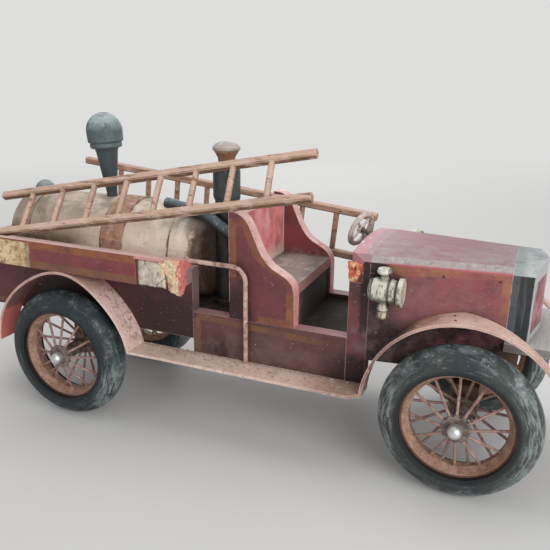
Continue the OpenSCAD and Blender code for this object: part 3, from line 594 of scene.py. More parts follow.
def shell_paint():
    """Grey enamel on the radiator shell: two slate bands down each side, dust on top."""
    paint = Finish("grey_shell_paint", "#5f6469", roughness=0.52)
    paint.mottle(16, 0.18)
    paint.mottle(3, 0.12, seed=2)
    on_side = both(past(off_centre(), 50.5, 51.5), past(UPWARD, 0.5, 0.3))
    paint.coat("#54545b", 0.85, on_side, past(X, 505.6, 504.4, 0.8))
    paint.coat("#2d3132", 0.94, on_side, past(X, 504.6, 505.6, 0.8))
    paint.coat("#5d6466", 0.55, on_side, patches(5, 0.56, 0.66, seed=9, detail=6, along=UPRIGHT))
    paint.coat("#262b2b", 0.5, on_side, patches(8, 0.55, 0.66, seed=59, detail=6))
    front = past(FORWARD, 0.4, 0.7)
    paint.coat("#b9b6b9", 0.9, front)
    up = facing_up(0.4, 0.65)
    paint.coat("#9ea4a3", 0.92, up)
    paint.coat("#7b8381", 0.7, up, patches(8, 0.48, 0.62, seed=10, detail=7, rough=0.65))
    paint.coat("#c3c8c6", 0.75, up, past(X, 503, 514), patches(11, 0.38, 0.56, seed=5, detail=6))
    paint.coat("#4c5352", 0.6, up, patches(2.4, 0.62, 0.68, seed=60, detail=5))
    paint.coat("#c6cac8", 0.75, rubbed_edges(1.4))
    paint.coat("#e6e2da", 0.8, patches(2.2, 0.72, 0.74, seed=7, detail=2))
    paint.bump(cloud(3, seed=8, detail=5), 0.3)
    return paint


def core_paint():
    """Upright ribs in faded pink, the grey of the shell brushed over their outer ends."""
    paint = old_red("core_paint", "#dfa9b0", "#e8c3c7", top="#d0b6b4", wear=0, rich="#d08c97")
    paint.coat("#8a5a62", 0.5, patches(4, 0.52, 0.64, seed=38, detail=6, along=UPRIGHT))
    lean_in = measure(off_centre(), Z, 0.113)
    paint.coat("#bdb9bb", 0.92, past(lean_in, 51.6, 53.2, 0.6, 8))
    return paint


dress(shell_paint(), "radiator_shell")
dress(core_paint(), "radiator_core")


def dusty_grey(name, base, top, along=LENGTHWISE, drift="#cbc4bb"):
    """Thin grey paint over pine, silted with house dust, with painted shade in its corners."""
    paint = Finish(name, base, roughness=0.8)
    paint.mottle(24, 0.18)
    paint.coat(top, 0.85, facing_up())
    paint.coat(drift, 0.6, facing_up(), patches(12, 0.5, 0.66, seed=5, detail=7, rough=0.65))
    paint.coat("#6a4a45", 0.45, patches(11, 0.58, 0.7, seed=7, detail=6))
    # Painted shade in corners
    paint.coat("#2c2421", 0.8, shaded_hollows(24))
    paint.coat("#d3c7bb", 0.6, rubbed_edges(1.4))
    paint.coat("#a89e94", 0.6, patches(1.9, 0.7, 0.73, seed=8, detail=2))
    paint.grain(along, 2.4, 0.3, 0.18)
    return paint


def bench_paint():
    """The bench: pale where it was sat on at the back, darker towards its front edge."""
    paint = dusty_grey("dusty_bench_paint", "#6f5450", "#a99b91", CROSSWISE)
    paint.coat("#4a3a36", 0.6, past(measure(X, Y, 0.35), 262, 288, 5, 14))
    paint.coat("#b38179", 0.8, past(FORWARD, 0.5, 0.8))
    return paint


def seat_front_paint():
    """The board under the bench: grey near the right seat side, dark with painted shade further
    across.
    """
    paint = dusty_grey("seat_front_paint", "#6a5b53", "#6a5b53", UPRIGHT)
    # Painted shade over all but the part by the right seat side
    paint.coat("#2a2422", 0.8, past(Y, -50, -28, 5, 14))
    return paint


dress(bench_paint(), "bench")
dress(seat_front_paint(), "seat_front")
dress(dusty_grey("dusty_platform_paint", "#8f8b86", "#c4c5c0", CROSSWISE), "front_platform")
# Painted shade: the deck under the barrel and the cab floor are painted near black
dress(
    dusty_grey("shaded_deck_paint", "#2b2623", "#302a27", drift="#544b45"), "barrel_deck",
    "cab_floor")


def undercarriage_pine():
    """Sawn softwood that was never painted, browned by age."""
    wood = Finish("undercarriage_pine", "#7d6350", roughness=0.82)
    wood.mottle(30, 0.12)
    wood.grain(LENGTHWISE, 2.4, 0.35, 0.22)
    # Painted shade in corners
    wood.coat("#6f5140", 0.6, shaded_hollows(20))
    return wood


dress(undercarriage_pine(), "chassis_rails", "axle_blocks", "platform_block")


def ladder_wood():
    """Split pine slats with a pinkish stain, whittled and never sanded: pale above, tan on the
    sides, brown in knife marks, and darkened nearly to brown below with painted shade."""
    wood = Finish("ladder_pine", "#b08f78", roughness=0.8)
    wood.mottle(22, 0.18)
    wood.grain(LENGTHWISE, 1.8, 0.6, 0.3)
    # Painted shade on the faces that look down
    wood.coat("#6d503c", 0.8, past(UPWARD, 0.05, -0.55))
    wood.coat(
        "#d3b19d", 0.8, facing_up(0.1, 0.7),
        patches(22, 0.25, 0.5, seed=3, detail=6, along=LENGTHWISE))
    wood.coat("#dcc0ae", 0.55, patches(7, 0.5, 0.62, seed=4, detail=6, along=(0.4, 1, 1)))
    wood.coat("#77553d", 0.7, patches(5, 0.55, 0.64, seed=5, detail=7, along=(0.12, 1, 1)))
    wood.coat("#35241a", 0.8, patches(2.6, 0.68, 0.71, seed=6, detail=3, along=(0.3, 1, 1)))
    wood.coat("#ecd9c8", 0.5, rubbed_edges(1.2))
    return wood


dress(ladder_wood(), *[f"{side}_ladder_{part}" for side in SIDES for part in ("rails", "rungs")])


def strip_paint():
    """Bent sheet strip, once red: pinkish primer on the fenders, tan dust and grit on the
    running boards, red-brown inside the arches, and painted shade on the front legs and
    under the strips."""
    paint = Finish("pink_strip_paint", "#c9a093", roughness=0.66)
    paint.mottle(30, 0.14)
    paint.mottle(5, 0.14, seed=51)
    paint.coat("#a9756c", 0.55, patches(18, 0.52, 0.66, seed=2, detail=7, rough=0.65))
    paint.coat(
        "#a58064", 0.8, past(X, 396, 420, 6), past(X, 446, 432, 5), past(off_centre(), 90, 82, 3),
        patches(9, 0.34, 0.56, seed=61, detail=7))
    paint.coat("#e2c6b9", 0.55, past(X, 430, 456), patches(24, 0.3, 0.6, seed=12, detail=6))
    low_leg = both(past(Z, 96, 50, 8, 20), past(X, 330, 352))
    paint.coat("#8f5552", 0.6, low_leg)
    rear_leg = both(past(X, 40, 60), past(X, 120, 104))
    paint.coat("#f2d3c9", 0.85, rear_leg, patches(9, 0.34, 0.5, seed=62, detail=8, rough=0.68))
    paint.coat(
        "#8c7468", 0.7, rear_leg, patches(6, 0.47, 0.58, seed=79, detail=8, rough=0.7),
        past(off_centre(), 98, 86, 5))
    paint.coat("#fbe9e1", 0.7, rear_leg, patches(4, 0.56, 0.62, seed=84, detail=7, rough=0.7))
    flat = past(Z, 34, 23.5)
    paint.coat("#e6cab9", 0.85, flat)
    paint.coat(
        "#f0dccd", 0.7, flat, patches(11, 0.46, 0.6, seed=4, detail=7, rough=0.65),
        past(X, 300, 200))
    paint.coat("#8d6a5a", 0.55, flat, patches(9, 0.52, 0.64, seed=14, detail=8, rough=0.7))
    paint.coat("#8f6f5d", 0.8, flat, past(X, 284, 346, 8))
    paint.coat("#7d5d52", 0.4, flat, past(off_centre(), 78, 71, 3))
    paint.coat("#e7d3c8", 0.5, patches(5, 0.54, 0.66, seed=5, detail=7, rough=0.65))
    paint.coat("#5f3f36", 0.7, patches(2.4, 0.62, 0.67, seed=15, detail=5))
    # Painted shade on the front fender's leg, towards the hood
    shaded_leg = both(past(X, 345, 352), past(X, 424, 398, 6), past(UPWARD, -0.1, 0.1), past(Z, 24, 30))
    paint.coat("#2f2722", 0.9, shaded_leg)
    # Painted shade on the undersides
    shaded_underside = past(UPWARD, -0.05, -0.4)
    inside = either(both(around_wheel(REAR_HUB, 97.5), past(X, 60, -60)), shaded_underside)
    paint.coat("#3b2a29", 0.8, shaded_underside, past(X, 100, 140))
    paint.coat("#7d4c49", 0.85, inside, past(X, 30, -20), past(FORWARD, -0.1, 0.1))
    paint.coat("#4a3130", 0.8, shaded_underside, past(X, -20, 30), past(X, 140, 110))
    tail = both(past(X, -80, -86, 2), past(FORWARD, 0.3, 0.7), past(Z, 48, 42, 4))
    paint.coat("#d8706a", 0.9, tail)
    paint.coat("#efdacf", 0.75, rubbed_edges(1))
    paint.coat("#7b4536", 0.7, patches(2.2, 0.69, 0.72, seed=9, detail=3))
    paint.bump(cloud(2, seed=8, detail=6, rough=0.65), 0.5)
    return paint


dress(strip_paint(), "right_fender", "left_fender")


def tray_paint():
    """Ladder trays: red between two ochre bands, the top edge dusty mauve. On the right one
    the rear end has split off to raw pine."""
    def lines():
        on_face = past(off_centre(), 101, 102)
        return both(either(stripe(Z, 130.2, 138.2), stripe(Z, 108, 115.4)), on_face)

    paint = old_red(
        "tray_paint", "#823f41", "#8f5050", lines, line_colour="#9c6238", top="#dbbab3",
        top_strength=0.95, edge="#b07f74")
    paint.coat("#6f5546", 0.5, past(Z, 116.4, 115), outer_side())
    paint.coat(
        "#dba09a", 0.9, past(Z, 134.6, 136.2, 0.5, 6), past(X, 108, 114), past(Y, -101, -102))
    stub = both(past(X, -35, -37, 3, 8, 21), past(Z, 137.6, 136.4, 0.8, 8), past(Y, -101, -102))
    paint.coat("#d2b189", 0.96, stub)
    paint.coat(
        "#ecd6ae", 0.85, stub,
        patches(7, 0.48, 0.58, seed=22, detail=7, rough=0.65, along=(0.4, 1, 1)))
    paint.coat("#a37f57", 0.8, stub, patches(6, 0.52, 0.6, seed=23, detail=7))
    paint.coat("#8b7159", 0.6, stub, past(X, -46, -39, 3))
    cracks = both(stub, patches(5, 0.6, 0.64, seed=25, detail=5, rough=0.7, along=(0.4, 1, 0.8)))
    paint.coat("#54391f", 0.85, cracks)
    paint.bump(both(stub, cloud(6, seed=24, detail=7, along=(0.4, 1, 1))), 2.2)
    paint.bump(cracks, -0.8)
    return paint


dress(tray_paint(), "right_tray", "left_tray")


def handrail_paint():
    """Bent rod: pink primer rubbed to grey-tan, with rust coming through in rings."""
    paint = Finish("handrail_paint", "#b08c80", roughness=0.5)
    paint.mottle(12, 0.18)
    paint.coat("#d9beb2", 0.7, past(LEFTWARD, 0.2, -0.7), patches(8, 0.38, 0.58, seed=2, detail=6))
    paint.coat("#7d4f42", 0.7, patches(5, 0.54, 0.62, seed=3, detail=6))
    paint.bump(cloud(2, seed=4, detail=5), 0.25)
    return paint


dress(handrail_paint(), "right_handrail")


def barrel_paint():
    """Cream paint on a turned log, chalky, sooty along the top, the hoop and the front end
    gone to brown wood, the very front dark with painted shade."""
    paint = Finish("cream_barrel_paint", "#f2ddc9", roughness=0.62)
    paint.mottle(40, 0.08)
    paint.shade(cloud(9, seed=12, detail=7, rough=0.65, along=LENGTHWISE), 0.12, 0.05)
    paint.coat("#b9a998", 0.85, past(X, 20, -90, 10, 20, 8))
    olive = both(past(X, 30, -20, 9, 20, 9), past(Z, 156, 124, 8, 16, 9))
    paint.coat("#6a583c", 0.92, olive)
    paint.coat(
        "#73654c", 0.6, past(X, -40, -70, 8, 16, 13),
        patches(14, 0.45, 0.6, seed=17, detail=7, along=(1, 1, 0.4)))
    soot = patches(22, 0.42, 0.62, seed=3, detail=7, rough=0.65, along=(0.5, 1, 1))
    paint.coat("#8b8378", 0.75, soot, past(Z, 146, 172, 5))
    paint.coat("#a59887", 0.6, past(X, 96, 118, 5), past(Z, 150, 162, 4))
    hoop = stripe(X, 31, 60, 0.4, 0.8, 12)
    paint.coat("#b88c72", 0.95, hoop)
    paint.coat("#8b6246", 0.6, hoop, patches(9, 0.48, 0.64, seed=18, detail=7))
    paint.coat("#d9bda9", 0.5, hoop, patches(8, 0.52, 0.62, seed=63, detail=6))
    front = past(X, 141, 152, 7, 9)
    paint.coat("#8d6a45", 0.9, front, patches(7, 0.36, 0.54, seed=64, detail=7, rough=0.65))
    # Painted shade on the front end
    paint.coat("#3d2c1f", 0.92, past(X, 149, 157, 5, 8, 14))
    paint.coat("#8d887b", 0.7, past(X, 124, 130, 3), past(Z, 152, 164, 5))
    # Painted shade in hollows
    paint.coat("#594637", 0.8, shaded_hollows(10))
    joints = either(stripe(X, 121, 123.4, 0.5, 1.6, 14), stripe(X, 28.6, 31, 0.5, 1.2, 12))
    paint.coat("#413023", 0.85, joints)
    hoop_edge = both(
        stripe(X, 59.8, 61.6, 0.4, 0.6, 10), patches(6, 0.42, 0.56, seed=80, detail=6))
    paint.coat("#6a4f3a", 0.7, hoop_edge)
    rear_joint = both(stripe(X, -80.2, -78, 0.5, 0.8, 14), patches(9, 0.4, 0.6, seed=65))
    paint.coat("#5d5040", 0.7, rear_joint)
    paint.coat("#5f4c3a", 0.7, patches(2.6, 0.67, 0.7, seed=9, detail=3))
    paint.coat(
        "#fbefe0", 0.6, past(X, 56, 64), past(X, 146, 136),
        patches(16, 0.44, 0.62, seed=66, detail=7, rough=0.62))
    paint.coat(
        "#c4ae9c", 0.5, past(X, 146, 136), patches(7, 0.54, 0.64, seed=81, detail=8, rough=0.68))
    paint.bump(cloud(3, seed=6, detail=6, along=(0.2, 1, 1)), 0.5)
    return paint


dress(barrel_paint(), "barrel")


def slate_turning(name, base, dust):
    """Blue-green paint on lathe-turned wood, chalked by dust wherever it looks up, and
    darkened with painted shade on the side towards the rear and in its hollows."""
    paint = Finish(name, base, roughness=0.44)
    shadow = "#1d2425"
    paint.mottle(14, 0.18)
    paint.mottle(3, 0.14, seed=2)
    paint.coat(shadow, 0.7, past(FORWARD, 0.25, -0.75))
    up = facing_up(-0.25, 0.8)
    paint.coat(dust, 0.75, up, patches(13, 0.24, 0.52, seed=3, detail=6))
    paint.coat(
        "#bcc5c7", 0.6, facing_up(-0.1, 0.6),
        patches(3, 0.58, 0.64, seed=13, detail=6, along=(1, 1, 0.45)))
    paint.coat(shadow, 0.7, shaded_hollows(9))
    paint.coat("#94a2a5", 0.5, rubbed_edges(1))
    paint.coat("#0f1314", 0.6, patches(2.6, 0.64, 0.69, seed=67))
    paint.bump(cloud(2.4, seed=6, detail=5, along=(0.5, 0.5, 2)), 0.3)
    paint.uneven_gloss(0.32, 0.6, 12)
    return paint


chimney = slate_turning("slate_chimney_paint", "#4c5b60", "#b0bec2")
# Below the cap's ring, all but the upward faces are darker
chimney.coat("#2c3638", 0.55, past(Z, 241, 236), past(UPWARD, 0.5, 0.2))
dress(chimney, "chimney")
boiler = slate_turning("slate_boiler_paint", "#414c4f", "#62737a")
# Painted shade: the boiler's lower part, down behind the barrel and the pipe, is darkened nearly
# to black
boiler.coat("#1e1d1b", 0.8, past(Z, 190, 150))
boiler.coat("#4a3a30", 0.6, past(Z, 200, 188), patches(9, 0.42, 0.6, seed=68, detail=5))
dress(boiler, "boiler")
dress(slate_turning("slate_pipe_paint", "#323839", "#74868f"), "branch_pipe")
dress(slate_turning("slate_cap_paint", "#5b666a", "#a0a5a7"), "rear_filler_cap")


def boiler_cap_wood():
    """Turned cap, its cream paint gone from the waist, where the brown wood shows."""
    paint = Finish("boiler_cap_paint", "#a99c8f", roughness=0.58)
    paint.mottle(8, 0.14)
    paint.coat("#8a5f40", 0.9, past(Z, 250.5, 245, 1.5, 6))
    paint.coat("#5c3d28", 0.6, past(Z, 252, 246), patches(6, 0.46, 0.6, seed=69, detail=6))
    paint.coat("#b8aea4", 0.8, facing_up(0.2, 0.7))
    paint.coat("#ddd5cc", 0.6, facing_up(0.3, 0.8), patches(8, 0.48, 0.6, seed=70, detail=6))
    # Painted shade in hollows
    paint.coat("#49362a", 0.5, shaded_hollows(6))
    paint.grain((1, 1, 0.2), 1.6, 0.25, 0.2)
    return paint


dress(boiler_cap_wood(), "boiler_cap")


def lantern_paint():
    """Cream enamel on turned wood, khaki with age, with dark lines in the turned grooves, and
    nearly black with painted shade in its hollows, below and on its rear side."""
    paint = Finish("lantern_paint", "#d8d5c4", roughness=0.36)
    paint.mottle(9, 0.14)
    paint.coat("#8f876a", 0.7, patches(6, 0.48, 0.64, seed=3, detail=6))
    paint.coat("#c9ae8e", 0.7, past(Z, 114, 108, 2, 8))
    # Painted shade underneath, on the faces towards the rear and in the hollows
    shaded_underside = both(past(UPWARD, -0.15, -0.75), past(Z, 112, 116))
    paint.coat("#3a3226", 0.8, shaded_underside)
    paint.coat("#2b2419", 0.75, past(FORWARD, -0.05, -0.7), past(Z, 148, 143))
    paint.coat("#1d1811", 0.95, shaded_hollows(6.5, 0.9, 0.5))
    grooves = either(
        stripe(X, 387.4, 390.6, 0.6, 0.4, 6), stripe(X, 370.4, 373, 0.5, 0.4, 6),
        stripe(X, 395.2, 398.2, 0.5, 0.4, 6))
    paint.coat("#241e15", 0.9, grooves, patches(5, 0.28, 0.46, seed=14))
    streaks = patches(4, 0.56, 0.62, seed=71, detail=6, along=(1, 1, 0.35))
    paint.coat("#4b4130", 0.7, streaks)
    paint.coat("#e9e7dc", 0.6, rubbed_edges(0.9))
    paint.coat("#5e4630", 0.7, patches(2, 0.68, 0.71, seed=6, detail=3))
    paint.bump(cloud(1.8, seed=8), 0.2)
    return paint


dress(lantern_paint(), "right_lantern", "left_lantern")


def on_wheel():
    """Distance from the nearest axle in millimetres, and a place that runs round the wheel,
    for marks that turning left."""
    half = (front_hub.x - rear_hub.x) / 2
    x, y, z = add("ShaderNodeSeparateXYZ", {0: SCENE_PLACE}).outputs
    out = add("ShaderNodeMath", {0: measure(-rear_hub.x - half, x)}, operation="ABSOLUTE")
    along = measure(-half, out)
    above = measure(-rear_hub.z, z)
    spot = add("ShaderNodeCombineXYZ", {0: along, 1: above})
    metres = add("ShaderNodeVectorMath", {0: spot}, operation="LENGTH").outputs["Value"]
    reach = measure(0, metres, 1 / MM)
    angle = add("ShaderNodeMath", {0: above, 1: along}, operation="ARCTAN2")
    # Each wheel has its own marks: x and y move the pattern on from one to the next
    own = add("ShaderNodeCombineXYZ", {0: reach, 1: measure(0, angle, 9), 2: measure(Y, x, 200)})
    return reach, own


def tyre_paint():
    """Blue-black paint on a turned wooden tyre, rubbed to chalk on the tread and scraped in
    rings on the wall, with painted shade in a ring where it meets the rim."""
    paint = Finish("tyre_paint", "#2b363a", roughness=0.55)
    paint.mottle(30, 0.2)
    reach, rings = on_wheel()
    paint.coat("#36434a", 0.6, patches(30, 0.44, 0.6, seed=21, detail=7, rough=0.62))
    paint.coat("#40443f", 0.75, past(X, 200, 300), patches(40, 0.36, 0.56, seed=25, detail=6))
    paint.coat("#191f21", 0.55, patches(5, 0.5, 0.62, seed=72, detail=7, rough=0.65, place=rings))
    paint.coat("#6f7b7b", 0.6, patches(4, 0.55, 0.64, seed=73, detail=7, rough=0.68, place=rings))
    tread = both(past(reach, 66, 77, 4, 12), patches(24, 0.46, 0.58, seed=3, detail=8, rough=0.7))
    paint.coat("#6f7c7d", 0.7, tread)
    paint.coat("#a8b0ac", 0.75, tread, patches(4, 0.5, 0.6, seed=7, detail=8, rough=0.72))
    paint.coat(
        "#1e272b", 0.6, past(X, 120, 110), past(Z, -14, 8, 8, 20),
        patches(18, 0.32, 0.52, seed=85, detail=7))
    # Where the wheels were set down and scuffed
    ahead = past(X, 504, 530, 6, 20)
    behind = both(past(X, 414, 400, 6, 20), past(X, 200, 300))
    under_tray = both(past(X, 36, 62, 6, 20), past(X, 100, 90), past(Z, 20, -20, 6, 20))
    chalk = both(
        either(ahead, behind, under_tray), past(reach, 60, 66, 4, 9),
        patches(2.6, 0.46, 0.58, seed=83, detail=8, rough=0.75, place=rings))
    paint.coat("#98a19e", 0.7, chalk)
    paint.coat("#9aa39f", 0.7, patches(3, 0.62, 0.67, seed=74, detail=7, rough=0.72))
    paint.coat("#b9beb8", 0.7, patches(1.8, 0.66, 0.7, seed=75, rough=0.7))
    paint.coat(
        "#8f8876", 0.5, patches(15, 0.58, 0.66, seed=23, detail=8, rough=0.7), past(reach, 60, 70))
    # Painted shade in the step down to the rim
    paint.coat("#15191a", 0.85, past(reach, 62, 57, 1, 8))
    paint.bump(cloud(3, seed=8, detail=8, rough=0.7), 0.6)
    return paint


dress(tyre_paint(), *wheels("tyre"))


def wheel_rust(name, base, dust, spots="#4c2f24", wear="#d0b5a4"):
    """Red-brown paint on metal, worn to tan on the edges and rusting in spots, with painted
    shade in its hollows.
    """
    paint = Finish(name, base, roughness=0.56)
    paint.mottle(10, 0.2)
    paint.coat(dust, 0.65, patches(6, 0.44, 0.6, seed=3, detail=6, rough=0.62))
    paint.coat(spots, 0.65, patches(3, 0.54, 0.64, seed=5, detail=6, rough=0.62))
    paint.coat(wear, 0.6, rubbed_edges(0.8))
    # Painted shade in hollows
    paint.coat("#2a1812", 0.6, shaded_hollows(8, 0.65, 0.2))
    paint.bump(cloud(1.6, seed=7, detail=5), 0.25)
    return paint


rim = wheel_rust("tan_rim_paint", "#9a7563", "#bd9a85")
# The lip, where the rim meets the tyre, keeps its red-brown
rim.coat("#704538", 0.75, past(on_wheel()[0], 52.6, 53.4))
dress(rim, *wheels("rim"))
dress(wheel_rust("tan_spoke_paint", "#98796c", "#c0a295"), *wheels("spokes"))
dress(wheel_rust("grey_hub_paint", "#5a4d46", "#9a897e", "#241b17", "#b9aca2"), *wheels("hub"))


def dull_metal(name, base, roughness):
    """Turned mild steel that has lost its shine: cloudy, with brown freckles."""
    metal = Finish(name, base, roughness=roughness)
    metal.shader.inputs["Metallic"].default_value = 1
    metal.shader.inputs["IOR"].default_value = 1.5
    metal.mottle(6, 0.12)
    metal.coat("#8d7a69", 0.6, patches(3, 0.58, 0.7, seed=4, detail=5))
    metal.bump(cloud(1.2, seed=6), 0.08)
    return metal


dress(dull_metal("dull_nut_steel", "#dcdfde", 0.5), "hub_nuts")
dress(dull_metal("brown_rod_steel", "#7f776f", 0.5), "axles", "steering_column")


def steering_wheel_paint():
    """Cream paint on a turned ring, grey with handling."""
    paint = Finish("steering_wheel_paint", "#cbbdb2", roughness=0.5)
    paint.mottle(8, 0.18)
    paint.coat("#857567", 0.6, patches(6, 0.5, 0.62, seed=2, detail=6))
    # Painted shade in hollows
    paint.coat("#33271f", 0.7, shaded_hollows(5))
    paint.coat("#463830", 0.6, patches(3, 0.62, 0.67, seed=76))
    paint.bump(cloud(2, seed=3), 0.15)
    return paint


dress(steering_wheel_paint(), "steering_wheel")


def piece(name, mesh, finish, smooth=False):
    """Makes a finished mesh an object that rides on the chassis."""
    data = bpy.data.meshes.new(name)
    mesh.to_mesh(data)
    mesh.free()
    data.materials.append(finish.done())
    if smooth:
        data.shade_smooth()
    made = bpy.data.objects.new(name, data)
    bpy.context.collection.objects.link(made)
    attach(made, "chassis")
    return made


def rough(size, x, y, z):
    """Noise from -1 to 1 in lumps of the given size in millimetres."""
    return noise.noise(Vector((x, y, z)) / size)


def fine_cube(cuts):
    """A cube of side 1, cut finely enough to be bent into broken wood."""
    shape = bmesh.new()
    bmesh.ops.create_cube(shape, size=1)
    bmesh.ops.subdivide_edges(shape, edges=shape.edges[:], cuts=cuts, use_grid_fill=True)
    return shape


def torn_wood(name, base, pale):
    """Broken softwood: pale splinters, browned with painted shade in the cracks, fibrous upwards.
    """
    wood = Finish(name, base, roughness=0.86)
    wood.mottle(8, 0.16)
    wood.coat(pale, 0.8, patches(5, 0.42, 0.6, seed=3, detail=6))
    # Painted shade in the cracks
    wood.coat("#8a6b4a", 0.7, shaded_hollows(5, 0.8, 0.35))
    wood.coat("#7a5a3c", 0.6, patches(3, 0.62, 0.68, seed=26, along=(1, 1, 0.3)))
    wood.grain(UPRIGHT, 2, 0.6, 0.18)
    return wood


def block_finish():
    """Cream broken wood on the outside; the front end still holds its pink paint."""
    wood = torn_wood("torn_block_wood", "#e6cda6", "#f6e6c8")
    front = past(FORWARD, 0.35, 0.7)
    wood.coat("#dd7a72", 0.95, front)
    splinters = both(front, past(Y, -93, -97, 4, 5))
    wood.coat("#f4cda8", 0.9, splinters, patches(4, 0.46, 0.54, seed=27, detail=6))
    wood.coat("#9c4a44", 0.6, front, patches(5, 0.52, 0.6, seed=28, detail=6))
    wood.coat("#dc9a8f", 0.6, front, patches(6, 0.46, 0.64, seed=9, detail=5))
    wood.coat("#8f8087", 0.9, front, past(Y, -84, -79, 2, 8), past(Z, 128, 122, 2, 8))
    wood.coat("#e3aaa2", 0.9, facing_up(0.6, 0.9), past(Z, 128, 130))
    return wood


def torn_block():
    """The block that closes the tray: split, with a tongue of broken wood hanging from it."""
    x0, length, y0, width, z0, height = 147.1, 16.9, -102.2, 32.2, 106.5, 32.5
    shape = fine_cube(15)
    for v in shape.verts:
        along, across, up = v.co.x + 0.5, v.co.y + 0.5, v.co.z + 0.5
        x, y, z = x0 + length * along, y0 + width * across, z0 + height * up
        low, outer = max(0, 1 - up / 0.4), min(1, 1.7 * max(0, 1 - across / 0.55))
        hang = low * outer
        z -= (9.6 + 1.5 * rough(5, x, y, 3)) * hang * (0.3 + 0.7 * math.sqrt(along))
        y += 5 * hang
        # The broken face is the outer one; it is deepest low down at the rear
        skin = max(0, 1 - across / 0.2)
        dent = 3.4 * rough(7.5, x, y, z) + 1.7 * rough(2.8, x, y, z)
        y += skin * (1.4 + max(-1.4, dent) + 3.2 * low * (1 - along))
        # Chips have gone from the front end's outer edge
        x -= along * max(0, 1 - across / 0.35) * max(0, 1 + 2.6 * rough(4.5, y, z, 2))
        x -= 1.4 * skin * abs(rough(5, z, x, y)) * along
        if up < 0.1 and hang:
            z += 1.4 * rough(4, x, y, 0)
        # The top falls away inwards, to the handrail's end
        z -= 7 * max(0, across - 0.12) * up
        v.co = body_point(x, y, z)
    bmesh.ops.recalc_face_normals(shape, faces=shape.faces[:])
    made = piece("torn_tray_block", shape, block_finish())
    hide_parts("right_tray_block")


def torn_patch():
    """Where the tray's face has split away: a shallow field of broken pale fibres, with a
    crack between it and the block that painted shade darkens, as it does the other deep spots."""
    x0, x1, z0, z1 = 112.4, 149, 105.6, 135.9
    face, top_edge = -99.5, 135.5
    shape = bmesh.new()
    bmesh.ops.create_grid(shape, x_segments=40, y_segments=40, size=0.5)
    for v in shape.verts:
        along, up = v.co.x + 0.5, v.co.y + 0.5
        x, z = x0 + (x1 - x0) * along, z0 + (z1 - z0) * up
        z += 1.6 * rough(6, x, 7, 0) * (1 - up)
        rise = 1.5 + 0.8 * rough(9, x, z / 2, 1) + 0.5 * rough(2.6, x, z / 3, 5)
        # The crack runs down from the top edge, turns and comes back in at the bottom
        turn = math.sin(math.pi * min(1, (top_edge - z) / 27))
        crack_x = 137 + 12 * turn + 1.5 * rough(4, z, 1, 1)
        rise -= 1.6 * math.exp(-((x - crack_x) / 1.1) ** 2)
        if x > crack_x:
            rise += 0.5
        rim = min(1, 9 * min(along, 1 - along, up, 1 - up) + 0.15)
        v.co = body_point(x, face - max(0.3, min(2.9, rise * rim)), z)
    bmesh.ops.solidify(shape, geom=shape.faces[:], thickness=-0.5 * MM)
    bmesh.ops.recalc_face_normals(shape, faces=shape.faces[:])
    wood = torn_wood("torn_patch_wood", "#c6b8a8", "#e6dccf")
    wood.coat("#a79a8c", 0.5, patches(9, 0.5, 0.66, seed=15, detail=6))
    # The broken wood nearest the block is fresher and creamier
    reach = measure(X, Z, 0.35)
    wood.coat("#efd9b4", 0.8, past(reach, 182, 188, 3, 8))
    # Painted shade in the crack and the other deep spots
    depth = past(Y, -100.6, -99.9)
    wood.coat("#453326", 0.8, depth)
    piece("torn_tray_patch", shape, wood)


def torn_corner():
    """The cowl's split corner: a splinter still hangs in it, bent out to the rear at its top."""
    rear, front, side, across, foot, head = 344.2, 358.6, -70, 8, 132.6, 152.6
    shape = fine_cube(13)
    for v in shape.verts:
        along, inward, up = v.co.x + 0.5, v.co.y + 0.5, v.co.z + 0.5
        x, z = rear + (front - rear) * along, foot + (head - foot) * up
        # The inner side lies just inside the cut that the board has there
        cut = side + across * (1 - along) + 0.8
        y = side + (cut - side) * inward
        skin = 1 - inward
        dent = 1 + 2.4 * rough(5, x, y, z) + 1.2 * rough(2, x, y, z)
        y += skin * min(max(0, dent), (cut - side) * 0.8)
        x += (1 - along) * (1.6 * rough(3.4, y, z, 1) - 2.6 * up * up)
        z -= 1.6 * abs(rough(3, x, y, 5)) * up
        v.co = body_point(x, y, z)
    bmesh.ops.recalc_face_normals(shape, faces=shape.faces[:])
    wood = torn_wood("torn_corner_wood", "#d76f58", "#e58d72")
    wood.coat("#f2c795", 0.85, patches(7, 0.55, 0.59, seed=29, detail=5, along=(1, 1, 0.5)))
    wood.coat("#a8473c", 0.6, patches(4, 0.5, 0.58, seed=30, detail=5))
    wood.coat("#241510", 0.9, patches(5, 0.57, 0.6, seed=31, along=(1, 1, 0.4)))
    # Below a slanting line the red paint has held on
    reach = measure(X, Z, -0.45)
    wood.coat("#6b4042", 0.95, past(reach, 291.3, 292.8, 2.4, 4))
    piece("torn_cowl_corner", shape, wood)


torn_block()
torn_patch()
torn_corner()


